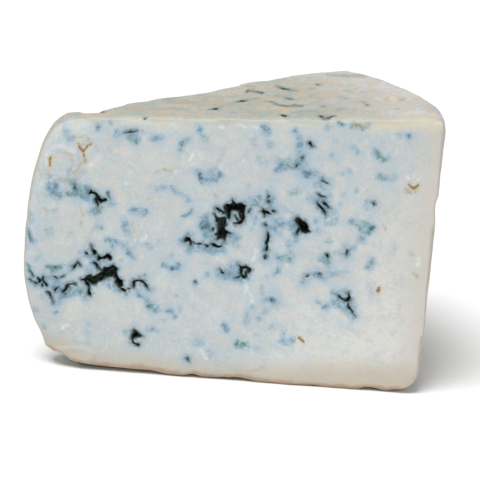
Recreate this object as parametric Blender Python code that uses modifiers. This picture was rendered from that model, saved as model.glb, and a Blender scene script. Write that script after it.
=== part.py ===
"""A wedge of Danish blue cheese, about an eighth of a drum, standing on the drum's flat bottom face.

Metres, +Z up; the surface's relief is worked out in millimetres. The drum's axis is the vertical line at
AXIS. The front cut face looks to -Y and runs along +X from the tip to the rim, and the back cut face is
turned from it by WEDGE_ANGLE. The origin is under the middle of the wedge.
"""

import math

import bmesh
import bpy
import numpy as np
from mathutils import Vector, noise

MM = 0.001

# The drum that the wedge was cut from: its top sinks from the rim to the middle, and its rim leans outwards
DRUM_RADIUS = 0.1097
WEDGE_ANGLE = math.radians(41)
RIM_HEIGHT = 0.0720
TIP_HEIGHT = 0.0660
RIM_LEAN = 0.0022
RIM_TOP_ROUND = 0.0030
RIM_BOTTOM_ROUND = 0.0070
AXIS = Vector((-0.0587, -0.0362, 0.0))

# The worn edges of the wedge; distances along its faces are measured from TIP_WORN past the axis
TIP_ROUND = 0.0045
TIP_WORN = 3.0
EDGE_ROUND = 0.0012

# The tip's side view, in mm: a height, and how far the tip stands out there from an upright nose
TIP_OUTLINE = (
    (0, -3.8), (4, -2.9), (7, -1.9), (10, -1.0), (14, 0.1), (18, 1.1), (22, 1.8), (28, 2.2), (36, 2.1),
    (42, 1.6), (48, 0.8), (52, 0.1), (56, -0.8), (60, -2.0), (63, -3.8), (65, -5.3), (67, -9.0), (70, -11.0),
)
TIP_REACH = 24.0

# The bottom edge of the front cut face, in mm: a distance along the face, and how far it is worn up there
FRONT_FOOT = (
    (4, 4.6), (9, 3.9), (11, 3.4), (13, 2.4), (16, 1.6), (20, 1.2), (30, 1.2), (37, 1.0), (41, 0.4),
    (46, 0.2), (48, 1.2), (50, 0.2), (57, 0.4), (60, 0.8), (64, 0.3), (73, 0.0), (79, 0.3), (85, 0.0),
    (90, 0.0), (94, 0.8), (98, 0.2), (102, 0.4), (106, 0.0),
)

# The top edge of the back cut face, in mm: a distance along it, and how far it stands above an even slope
BACK_EDGE = (
    (5, 0.4), (11, -0.2), (17, -1.5), (23, -2.8), (28, -1.6), (35, -1.4), (42, -0.9), (48, -1.0),
    (54, -1.5), (60, -1.2), (65, -0.7), (71, -0.4), (85, -0.1), (96, -0.2), (106, -0.8),
)

# The top edge of the rim: degrees from the front cut, and how far it stands above an even edge there, in mm
RIM_EDGE = ((0, 0.3), (4, 0.8), (8, 0.9), (15, 0.3), (20, 0.4), (24, 0.4), (31, 0.9), (36, 0.6), (41, 0.1))

# A chip out of the rim beside the front cut, in mm: its upper edge's height, its length down and its depth
RIM_CHIP_HEIGHT = 51.5
RIM_CHIP_LENGTH = 9.0
RIM_CHIP_DEPTH = 0.6

# Openings in the front cut face, each a chain of (distance along the face, height, half width) in mm
FRONT_OPENINGS = (
    # the long ragged one near the tip
    ((18.2, 24.3, 0.2), (19.2, 24.7, 0.6), (20.2, 24.9, 1.1), (21.2, 24.3, 1.2), (22.3, 24.8, 1),
     (23.5, 25.5, 1.1), (24.6, 26.6, 1.6), (25.5, 27.1, 1.6), (26.3, 27.8, 1)),
    ((20.2, 25.0, 0.6), (20.2, 25.7, 0.4)),
    ((19.0, 23.9, 0.3), (19.9, 23.2, 0.5), (20.2, 22.2, 0.3), (20.3, 21.4, 0.25), (20.5, 20.6, 0.45)),
    ((23.4, 25.3, 0.6), (24.0, 24.8, 0.4)),
    ((26.4, 26.6, 0.6), (27.3, 24.9, 0.6), (27.9, 24.1, 1.05), (27.9, 23.5, 0.7)),
    ((22.3, 31.0, 0.2), (22.6, 30.0, 0.5), (23.3, 30.4, 0.4), (24.1, 30.8, 0.45), (24.7, 31.0, 0.6),
     (25.2, 30.6, 0.6), (25.4, 30.1, 0.3)),
    ((20.3, 33.6, 0.1), (20.7, 32.6, 0.2), (21.2, 31.9, 0.45), (21.4, 31.4, 0.35)),
    ((21.2, 29.1, 0.2), (22.0, 28.4, 0.4), (22.5, 27.8, 0.3), (23.2, 27.0, 0.2)),
    # its thin branches towards the tip
    ((6.9, 23.9, 0.2), (7.5, 23.4, 0.45), (7.0, 22.9, 0.2)),
    # the hooked one in the middle
    ((56.4, 47.9, 0.2), (56.8, 47.2, 0.5), (56.6, 46.3, 1.2)),
    ((55.0, 45.8, 1.1), (56.2, 46.3, 1.2), (57.6, 46.2, 1), (58.7, 46.3, 1), (59.2, 46.8, 0.3),
     (59.9, 46.8, 0.1)),
    ((55.3, 45.7, 1.2), (55.5, 44.5, 0.6), (55.4, 43.4, 0.5)),
    ((58.8, 46.1, 0.7), (58.9, 45.0, 0.6), (59.3, 43.9, 0.45), (59.1, 42.9, 0.4), (58.5, 42.2, 0.45),
     (57.7, 41.9, 0.25), (57.0, 41.9, 0.1)),
    ((52.5, 42.5, 0.4), (53.8, 42.4, 1.1), (53.8, 41.5, 1.1), (53.7, 40.4, 0.95), (53.8, 39.3, 1.2),
     (54.0, 38.6, 1.2), (54.6, 37.7, 0.5), (54.8, 37.1, 0.2)),
    ((54.2, 39.1, 1), (55.2, 39.3, 0.5), (56.3, 39.2, 0.1)),
    ((54.2, 41.5, 0.7), (54.9, 41.3, 0.2)),
    ((53.3, 38.8, 0.5), (52.4, 38.8, 0.25)),
    ((53.2, 38.3, 0.5), (52.8, 37.5, 0.3)),
    ((44.6, 36.6, 0.4), (45.3, 37.0, 0.55), (45.9, 36.5, 0.35), (46.2, 35.7, 0.25)),
    ((51.1, 35.9, 0.1), (51.8, 36.3, 0.2), (52.0, 35.8, 0.4), (52.9, 35.6, 0.3), (53.8, 35.6, 0.3)),
    ((64.4, 45.6, 0.45), (65.2, 45.4, 0.4), (66.3, 45.1, 0.1)),
    # the slit left by a needle, and the hole beside it
    ((65.6, 40.3, 0.1), (65.6, 39.5, 0.3), (65.8, 38.7, 0.5), (65.6, 37.8, 0.4), (65.6, 36.7, 0.3),
     (65.6, 35.6, 0.4), (65.6, 35.0, 0.1)),
    ((73.2, 43.8, 0.75), (74.2, 42.8, 1.2), (74.7, 41.9, 1.25), (75.2, 41.4, 0.8), (75.9, 41.2, 0.35)),
    ((73.4, 41.5, 0.4), (73.1, 40.2, 0.2)),
    # slits and pits between them and the rim
    ((75.1, 64.0, 0.4), (75.9, 63.3, 0.2)),
    ((58.6, 31.2, 0.1), (59.0, 30.5, 0.25), (59.8, 30.4, 0.4), (60.7, 30.6, 0.4), (61.4, 30.0, 0.4),
     (61.2, 29.4, 0.4)),
    ((59.2, 30.2, 0.3), (59.3, 29.5, 0.4), (59.3, 28.6, 0.3), (60.0, 28.1, 0.5), (60.7, 28.0, 0.3)),
    # low and high on the side of the tip
    ((32.3, 11.7, 0.2), (32.4, 11.0, 0.5), (32.7, 10.4, 0.95), (33.4, 10.3, 0.5), (34.4, 10.1, 0.2)),
    ((32.1, 10.2, 0.5), (32.1, 9.1, 0.25), (32.5, 8.2, 0.25), (33.1, 7.9, 0.25), (33.6, 7.8, 0.25)),
    ((19.7, 48.1, 0.2), (19.9, 47.5, 0.45), (20.5, 47.6, 0.3), (21.2, 47.2, 0.35), (21.7, 46.5, 0.4),
     (21.9, 45.7, 0.5), (22.5, 45.5, 0.5), (23.2, 45.5, 0.3), (23.7, 45.8, 0.4)),
    # a small tear that shows brown
    ((100.5, 55.3, 0.2), (101.2, 54.5, 0.3), (102.1, 54.3, 0.3), (103.1, 55.2, 0.2)),
)

# Lumps of curd left standing in those openings: (distance along the face, height, radius) in mm
ISLANDS = ((24.7, 29.2, 0.6), (53.2, 43.9, 0.8), (53.5, 37.0, 0.6))

# Torn flakes on the front cut face, in mm: distance along the face, height, half width, half height and rise
FLAKES = (
    (13.0, 54.5, 5.5, 5.0, 0.6), (19.0, 57.5, 3.0, 3.5, -0.5), (9.0, 46.0, 3.0, 4.5, 0.4),
    (19.5, 41.0, 2.5, 5.0, 0.4), (49.5, 60.0, 4.0, 6.0, 0.4), (17.0, 4.0, 7.0, 2.2, 0.5),
    (63.0, 23.0, 3.0, 7.0, 0.3), (62.0, 6.0, 5.0, 4.0, 0.3),
)

# The back cut face has openings of the same kinds, laid out by chance
BACK_SEED = 11
BACK_CLUSTERS = ((26, 40), (58, 27), (74, 50))
BACK_SINGLES = 12

# Openings: how deep a wide one goes, how soon it reaches that, how ragged its edge is, how small its ragged
# teeth are and how far its lip sags, in mm
OPENING_DEPTH = 4.2
OPENING_SLOPE = 0.8
RAGGEDNESS = 0.3
RAGGED_SIZE = 1.1
SAG = 0.25

# Pits in the top, each (distance from the tip in mm, degrees from the front cut, radius in mm)
TOP_PITS = (
    (61, 24, 1.2), (68, 3, 0.9), (78.5, 2.7, 1.2), (51, 13, 0.9), (33, 3, 0.7), (25, 36, 1.3), (79, 12, 0.7),
    (77, 31, 0.9), (88, 32, 0.7), (97, 15, 0.7),
)
TOP_PIT_DEPTH = 0.7
RIM_SEED = 5
RIM_PITS = 9
RIM_PIT_DEPTH = 1.2

# The surface: how finely it is worked, and how many triangles are kept of it
VOXEL = 0.0007
RELAXING = 6
FINE_MARGIN = 1.0
TRIANGLES = 11000

# What is lower than this, in mm, is pressed flat where the wedge stands
PRESSED_FLAT = 0.3


def ramp(low, high, value):
    """Rises smoothly from 0 at low to 1 at high."""
    part = np.clip((value - low) / (high - low), 0, 1)
    return part * part * (3 - 2 * part)


def ripple(points, size, seed):
    """Smooth noise between about -1 and 1 at each point, with lumps of about the given size."""
    shift = Vector((17.3, 5.1, 9.7)) * seed
    return np.array([noise.noise(Vector(point) / size + shift) for point in points])


def arc(centre_x, centre_z, radius, start, end, steps):
    """Points of an arc in the plane of a cut face; the angles are in degrees."""
    points = []
    for step in range(steps + 1):
        angle = math.radians(start + (end - start) * step / steps)
        points.append((centre_x + radius * math.cos(angle), centre_z + radius * math.sin(angle)))
    return points


def add_object(name, mesh, collection):
    made = bpy.data.objects.new(name, mesh)
    collection.objects.link(made)
    return made


def evaluated_mesh(item):
    """A new mesh with the item's modifiers applied, in world space."""
    bpy.context.view_layer.update()
    mesh = bpy.data.meshes.new_from_object(item.evaluated_get(bpy.context.evaluated_depsgraph_get()))
    mesh.transform(item.matrix_world)
    return mesh


def make_drum(collection):
    """The whole drum: its half outline, from the middle of its top to the middle of its bottom, turned."""
    over = arc(DRUM_RADIUS + RIM_LEAN - RIM_TOP_ROUND, RIM_HEIGHT - RIM_TOP_ROUND, RIM_TOP_ROUND, 90, 0, 6)
    under = arc(DRUM_RADIUS - RIM_BOTTOM_ROUND, RIM_BOTTOM_ROUND, RIM_BOTTOM_ROUND, 0, -90, 8)
    outline = [(0.0, TIP_HEIGHT)] + over + under + [(0.0, 0.0)]
    mesh = bpy.data.meshes.new("drum")
    mesh.from_pydata([(r, 0, z) for r, z in outline], [(i, i + 1) for i in range(len(outline) - 1)], [])
    drum = add_object("drum", mesh, collection)
    drum.location = AXIS
    turn = drum.modifiers.new("turn", "SCREW")
    turn.steps = turn.render_steps = 192
    turn.use_merge_vertices = True
    turn.merge_threshold = 0.00005
    return drum


def sector_outline():
    """The wedge seen from above, with its round nose, measured from the axis."""
    half = WEDGE_ANGLE / 2
    to_nose = TIP_ROUND / math.sin(half)
    start, end = -90, math.degrees(WEDGE_ANGLE) - 270
    nose = arc(to_nose * math.cos(half), TIP_ROUND, TIP_ROUND, start, end, 10)
    reach = DRUM_RADIUS * 1.4
    return nose + [(reach * math.cos(WEDGE_ANGLE), reach * math.sin(WEDGE_ANGLE)), (reach, 0.0)]


def make_sector(collection):
    """The upright prism between the two cuts, as a cutter."""
    curve = bpy.data.curves.new("sector", "CURVE")
    curve.dimensions = "2D"
    curve.fill_mode = "BOTH"
    curve.extrude = RIM_HEIGHT
    outline = sector_outline()
    spline = curve.splines.new("POLY")
    spline.points.add(len(outline) - 1)
    for point, (x, y) in zip(spline.points, outline):
        point.co = (x, y, 0, 1)
    spline.use_cyclic_u = True
    flat = add_object("sector_outline", curve, collection)
    flat.location = AXIS + Vector((0, 0, RIM_HEIGHT / 2))
    mesh = evaluated_mesh(flat)
    bpy.data.objects.remove(flat)
    welded = bmesh.new()
    welded.from_mesh(mesh)
    bmesh.ops.remove_doubles(welded, verts=welded.verts, dist=0.000001)
    bmesh.ops.recalc_face_normals(welded, faces=welded.faces)
    welded.to_mesh(mesh)
    welded.free()
    sector = add_object("sector", mesh, collection)
    sector.hide_render = True
    sector.display_type = "WIRE"
    return sector


def make_blank(collection):
    """The wedge with smooth faces, as an even fine mesh."""
    drum = make_drum(collection)
    cut = drum.modifiers.new("cut", "BOOLEAN")
    cut.operation = "INTERSECT"
    cut.solver = "EXACT"
    cut.object = make_sector(collection)
    soften = drum.modifiers.new("soften", "BEVEL")
    soften.width = EDGE_ROUND
    soften.segments = 2
    soften.limit_method = "ANGLE"
    soften.angle_limit = math.radians(50)
    even = drum.modifiers.new("even", "REMESH")
    even.mode = "VOXEL"
    even.voxel_size = VOXEL
    relax = drum.modifiers.new("relax", "SMOOTH")
    relax.factor = 0.5
    relax.iterations = RELAXING
    mesh = evaluated_mesh(drum)
    bpy.data.objects.remove(drum)
    return mesh


def read_mesh(mesh):
    """The mesh's points in mm and its smooth normals."""
    points = np.zeros(len(mesh.vertices) * 3)
    mesh.vertices.foreach_get("co", points)
    normals = np.zeros(len(mesh.vertices) * 3)
    mesh.vertex_normals.foreach_get("vector", normals)
    return points.reshape(-1, 3) / MM, normals.reshape(-1, 3)


def write_mesh(mesh, points):
    mesh.vertices.foreach_set("co", (points * MM).ravel())
    mesh.update()


def in_plan(points):
    """Each point's distance from the wedge's tip, and its angle from the front cut in degrees."""
    x, y = points[:, 0] - AXIS.x / MM, points[:, 1] - AXIS.y / MM
    return np.hypot(x, y) - TIP_WORN, np.degrees(np.arctan2(y, x))


def along_cut(points, normals, angle, side):
    """Each point's place along a cut face, and how far it belongs to that face, from 0 to 1."""
    x, y = points[:, 0] - AXIS.x / MM, points[:, 1] - AXIS.y / MM
    across = x * math.cos(angle) + y * math.sin(angle) - TIP_WORN
    outward = side * (normals[:, 1] * math.cos(angle) - normals[:, 0] * math.sin(angle))
    return across, ramp(0.35, 0.75, outward)


def read_off(table, value, blur):
    """A value read from a short table, with its corners rounded over the blur."""
    places, amounts = zip(*table)
    steps = np.linspace(-blur, blur, 5)
    return sum(np.interp(value + step, places, amounts) for step in steps) / len(steps)


def wear(points):
    """The worn tip, the worn front bottom edge, the uneven top edges of back and rim and the chipped rim."""
    worn = points.copy()
    distance, angle = in_plan(points)
    height = points[:, 2]
    shift = read_off(TIP_OUTLINE, height, 1.5) * (1 - ramp(5, TIP_REACH, distance))
    worn[:, 0] -= shift * math.cos(WEDGE_ANGLE / 2)
    worn[:, 1] -= shift * math.sin(WEDGE_ANGLE / 2)
    from_front = points[:, 1] - AXIS.y / MM
    foot = np.maximum(1 - ramp(12, 20, distance), 1 - ramp(0, 6, from_front)) * (1 - ramp(0, 16, height))
    high = ramp(50, 64, height)
    back = ramp(0.3, 0.8, angle / math.degrees(WEDGE_ANGLE)) * high
    rim = ramp(94, 104, distance) * high
    worn[:, 2] += read_off(FRONT_FOOT, distance, 0.8) * foot
    worn[:, 2] += read_off(BACK_EDGE, distance, 1.0) * back + read_off(RIM_EDGE, angle, 1.0) * rim
    below = RIM_CHIP_HEIGHT - height
    chip = RIM_CHIP_DEPTH * ramp(-0.8, 0.8, below) * (1 - ramp(0.8, RIM_CHIP_LENGTH, below))
    chip *= ramp(90, 102, distance) * (1 - ramp(2, 7, angle))
    worn[:, 0] -= chip * np.cos(np.radians(angle))
    worn[:, 1] -= chip * np.sin(np.radians(angle))
    return worn


def chain_reach(across, height, chain):
    """How far inside a chain of tapered strokes each place lies, in mm; negative outside it."""
    inside = np.full(len(across), -1000.0)
    for (x0, z0, r0), (x1, z1, r1) in zip(chain, chain[1:] or chain):
        dx, dz = x1 - x0, z1 - z0
        length = max(dx * dx + dz * dz, 1e-9)
        part = np.clip(((across - x0) * dx + (height - z0) * dz) / length, 0, 1)
        away = np.hypot(across - x0 - part * dx, height - z0 - part * dz)
        inside = np.maximum(inside, r0 + (r1 - r0) * part - away)
    return inside


def opening_reach(across, height, chains, islands):
    """How far inside a cut face's openings each place lies, in mm, with ragged edges."""
    flat = np.column_stack((across, height, np.zeros(len(across))))
    across = across + RAGGEDNESS * ripple(flat, RAGGED_SIZE, 2)
    height = height + RAGGEDNESS * ripple(flat, RAGGED_SIZE, 3)
    inside = np.full(len(across), -1000.0)
    for chain in chains:
        inside = np.maximum(inside, chain_reach(across, height, chain))
    for island in islands:
        inside = np.minimum(inside, -chain_reach(across, height, (island,)))
    return inside


def opening_depth(inside):
    """The depth of an opening where a place lies so far inside it; its lip sags a little."""
    deep = OPENING_DEPTH * (1 - np.exp(-np.maximum(inside, 0) / OPENING_SLOPE))
    return deep + SAG * np.exp(np.minimum(inside, 0) / 0.5)


def wander(generator, start, steps, widest):
    """A chain that wanders off from a place and swells in its middle."""
    chain = []
    heading = generator.uniform(-0.7, 0.7)
    x, z = start
    for step in range(steps + 1):
        width = widest * math.sin(math.pi * (step + 0.4) / (steps + 0.8)) * generator.uniform(0.6, 1.0)
        chain.append((x, z, max(width, 0.15)))
        heading += generator.uniform(-0.9, 0.9)
        x += generator.uniform(1.2, 2.4) * math.cos(heading)
        z += generator.uniform(1.2, 2.4) * math.sin(heading)
    return tuple(chain)


def back_openings():
    """The back cut face's openings: a few clusters of long ones, and small ones between them."""
    generator = np.random.default_rng(BACK_SEED)
    chains = []
    for x, z in BACK_CLUSTERS:
        chains.append(wander(generator, (x, z), 7, 1.5))
        chains.append(wander(generator, (x + 2, z + 3), 3, 0.7))
        chains.append(wander(generator, (x - 4, z - 1), 2, 0.5))
    for _ in range(BACK_SINGLES):
        start = (generator.uniform(16, 98), generator.uniform(12, 60))
        chains.append(wander(generator, start, int(generator.integers(1, 4)), generator.uniform(0.3, 0.8)))
    return chains


def pit_depth(points, normals):
    """The depth of the pits in the top and the rim at each point."""
    distance, angle = in_plan(points)
    radians = np.radians(angle)
    depth = np.zeros(len(points))
    on_top = ramp(0.3, 0.7, normals[:, 2])
    for place, turn, radius in TOP_PITS:
        away = np.hypot(distance - place, place * (radians - math.radians(turn))) / radius
        depth = np.maximum(depth, TOP_PIT_DEPTH * (1 - ramp(0.2, 1.1, away)) * on_top)
    generator = np.random.default_rng(RIM_SEED)
    on_rim = ramp(104, 105.5, distance)
    for _ in range(RIM_PITS):
        turn, tall, radius = generator.uniform(7, 38), generator.uniform(10, 62), generator.uniform(0.6, 1.4)
        away = np.hypot(distance * (radians - math.radians(turn)), points[:, 2] - tall) / radius
        depth = np.maximum(depth, RIM_PIT_DEPTH * (1 - ramp(0.2, 1.1, away)) * on_rim)
    return depth


def flake_rise(across, height):
    """How far the torn flakes stand out of the front cut face; a negative one is sunk."""
    flat = np.column_stack((across, height, np.zeros(len(across))))
    bent = 0.25 * ripple(flat, 3.0, 6)
    rise = np.zeros(len(across))
    for place, tall, half_width, half_height, amount in FLAKES:
        away = np.hypot((across - place) / half_width, (height - tall) / half_height) + bent
        rise += amount * (1 - ramp(0.75, 1.0, away)) * (0.6 + 0.4 * away)
    return rise


def pressed_flat(points):
    """The points, with the lowest ones all at the same height, so that the wedge stands firmly."""
    flat = points.copy()
    flat[points[:, 2] < PRESSED_FLAT, 2] = 0
    return flat


def carve(points, normals):
    """The openings of both cut faces, the rind's pits and the unevenness of the whole surface."""
    height = points[:, 2]
    front_across, front = along_cut(points, normals, 0, -1)
    back_across, back = along_cut(points, normals, WEDGE_ANGLE, 1)
    front_depth = opening_depth(opening_reach(front_across, height, FRONT_OPENINGS, ISLANDS))
    back_depth = opening_depth(opening_reach(back_across, height, back_openings(), ()))
    rind = 1 - np.maximum(front, back)
    uneven = 0.35 * ripple(points, 14, 4) + (0.10 + 0.06 * rind) * ripple(points, 4, 5)
    inward = np.maximum(front_depth * front, back_depth * back) + pit_depth(points, normals) - uneven
    inward -= flake_rise(front_across, height) * front
    carved = points - normals * inward[:, None]
    resting = (normals[:, 2] < -0.9) & (points[:, 2] < PRESSED_FLAT)
    carved[resting] = points[resting]
    return pressed_flat(carved)


def refine_openings(mesh):
    """Halves the mesh's cells in and around the openings."""
    points, normals = read_mesh(mesh)
    near = np.zeros(len(points), bool)
    for angle, side, chains in ((0, -1, FRONT_OPENINGS), (WEDGE_ANGLE, 1, back_openings())):
        across, on_face = along_cut(points, normals, angle, side)
        near |= (opening_reach(across, points[:, 2], chains, ()) > -FINE_MARGIN) & (on_face > 0)
    fine = bmesh.new()
    fine.from_mesh(mesh)
    fine.verts.ensure_lookup_table()
    edges = [edge for edge in fine.edges if near[edge.verts[0].index] and near[edge.verts[1].index]]
    bmesh.ops.subdivide_edges(fine, edges=edges, cuts=1, use_grid_fill=True)
    bmesh.ops.triangulate(fine, faces=fine.faces)
    fine.to_mesh(mesh)
    fine.free()
    mesh.update()


def cheese_material():
    material = bpy.data.materials.new("blue_cheese")
    material.use_nodes = True
    shader = material.node_tree.nodes["Principled BSDF"]
    shader.inputs["Base Color"].default_value = (0.60, 0.62, 0.58, 1)
    shader.inputs["Roughness"].default_value = 0.55
    shader.inputs["Metallic"].default_value = 0.0
    return material


def thinned(mesh, collection):
    """The mesh with only TRIANGLES triangles, and as flat below as before."""
    full = add_object("full", mesh, collection)
    thin = full.modifiers.new("thin", "DECIMATE")
    thin.ratio = TRIANGLES / len(mesh.polygons)
    kept = evaluated_mesh(full)
    bpy.data.objects.remove(full)
    points, _ = read_mesh(kept)
    write_mesh(kept, pressed_flat(points))
    return kept


def make_wedge(parts, cutters):
    mesh = make_blank(cutters)
    points, _ = read_mesh(mesh)
    write_mesh(mesh, wear(points))
    refine_openings(mesh)
    points, normals = read_mesh(mesh)
    write_mesh(mesh, carve(points, normals))
    mesh = thinned(mesh, cutters)
    mesh.name = "cheese_wedge"
    mesh.materials.append(cheese_material())
    mesh.shade_smooth()
    add_object("cheese_wedge", mesh, parts)


def clear_scene():
    for item in list(bpy.data.objects):
        bpy.data.objects.remove(item)


clear_scene()
parts_collection = bpy.data.collections.new("danish_blue_wedge")
cutters_collection = bpy.data.collections.new("cutters")
bpy.context.scene.collection.children.link(parts_collection)
bpy.context.scene.collection.children.link(cutters_collection)
make_wedge(parts_collection, cutters_collection)
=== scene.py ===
"""The looks of a wedge of Danish blue cheese: the solid's form worked finer, with its mould and its rind.

Metres, +Z up; the surface's relief and the places of the mould are worked out in millimetres. The front cut
face looks to -Y. Places on it are (distance along the face from the tip, height), and places on the top are
(distance from the tip, degrees from the front cut).

Openings, streaks and mould are drawn as chains of tapered strokes. A chain is a flat run: a place and the
half width there, the next place and the half width there, and so on. A mark is a strength, then its chain.
"""

import math

import bmesh
import bpy
import numpy as np
from mathutils import Matrix, Vector, noise


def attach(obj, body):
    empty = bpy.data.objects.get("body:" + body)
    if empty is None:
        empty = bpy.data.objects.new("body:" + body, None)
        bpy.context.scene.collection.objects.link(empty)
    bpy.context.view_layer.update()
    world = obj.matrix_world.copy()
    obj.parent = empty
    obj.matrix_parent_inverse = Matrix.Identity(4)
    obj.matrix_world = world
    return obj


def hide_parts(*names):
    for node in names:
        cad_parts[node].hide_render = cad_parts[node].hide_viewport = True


MM = 0.001

# The drum that the wedge was cut from: its top sinks from the rim to the middle, and its rim leans outwards
DRUM_RADIUS = 0.1097
WEDGE_ANGLE = math.radians(41)
RIM_HEIGHT = 0.0720
TIP_HEIGHT = 0.0660
RIM_LEAN = 0.0022
RIM_TOP_ROUND = 0.0030
RIM_BOTTOM_ROUND = 0.0070
AXIS = Vector((-0.0587, -0.0362, 0.0))

# The worn edges of the wedge; distances along its faces are measured from TIP_WORN past the axis
TIP_ROUND = 0.0045
TIP_WORN = 3.0
EDGE_ROUND = 0.0012
SHARP_ANGLE = math.radians(50)

# A pair such as TIP_REACH is where something starts to fade or rise and where it ends

# The tip's side view, in mm: a height, and how far the tip stands out there from an upright nose
TIP_OUTLINE = (
    (0, -3.8), (4, -2.9), (7, -1.9), (10, -1.0), (14, 0.1), (18, 1.1), (22, 1.8), (28, 2.2), (36, 2.1),
    (42, 1.6), (48, 0.8), (52, 0.1), (56, -0.8), (60, -2.0), (63, -3.8), (65, -5.3), (67, -9.0), (70, -11.0),
)
TIP_REACH = (5, 24)

# The bottom edge of the front cut face, in mm: a distance along the face, and how far it is worn up there
FRONT_FOOT = (
    (4, 4.6), (9, 3.9), (11, 3.4), (13, 2.4), (16, 1.6), (20, 1.2), (30, 1.2), (37, 1.0), (41, 0.4),
    (46, 0.2), (48, 1.2), (50, 0.2), (57, 0.4), (60, 0.8), (64, 0.3), (73, 0.0), (79, 0.3), (85, 0.0),
    (90, 0.0), (94, 0.8), (98, 0.2), (102, 0.4), (106, 0.0),
)
FOOT_ROUND_TIP = (12, 20)
FOOT_DEPTH = (0, 6)
FOOT_HEIGHT = (0, 16)

# The top edge of the back cut face, in mm: a distance along it, and how far it stands above an even slope
BACK_EDGE = (
    (5, 0.4), (11, -0.2), (17, -1.5), (23, -2.8), (28, -1.6), (35, -1.4), (42, -0.9), (48, -1.0),
    (54, -1.5), (60, -1.2), (65, -0.7), (71, -0.4), (85, -0.1), (96, -0.2), (106, -0.8),
)

# The top edge of the rim: degrees from the front cut, and how far it stands above an even edge there, in mm
RIM_EDGE = ((0, 0.3), (4, 0.8), (8, 0.9), (15, 0.3), (20, 0.4), (24, 0.4), (31, 0.9), (36, 0.6), (41, 0.1))
RIM_EDGE_PLACE = (94, 104)
TOP_EDGES_HEIGHT = (50, 64)

# A chip out of the rim beside the front cut, in mm: its upper edge's height, its length down and its depth
RIM_CHIP_HEIGHT = 51.5
RIM_CHIP_LENGTH = 9.0
RIM_CHIP_DEPTH = 0.6
RIM_CHIP_PLACE = (90, 102)
RIM_CHIP_DEGREES = (2, 7)

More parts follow.
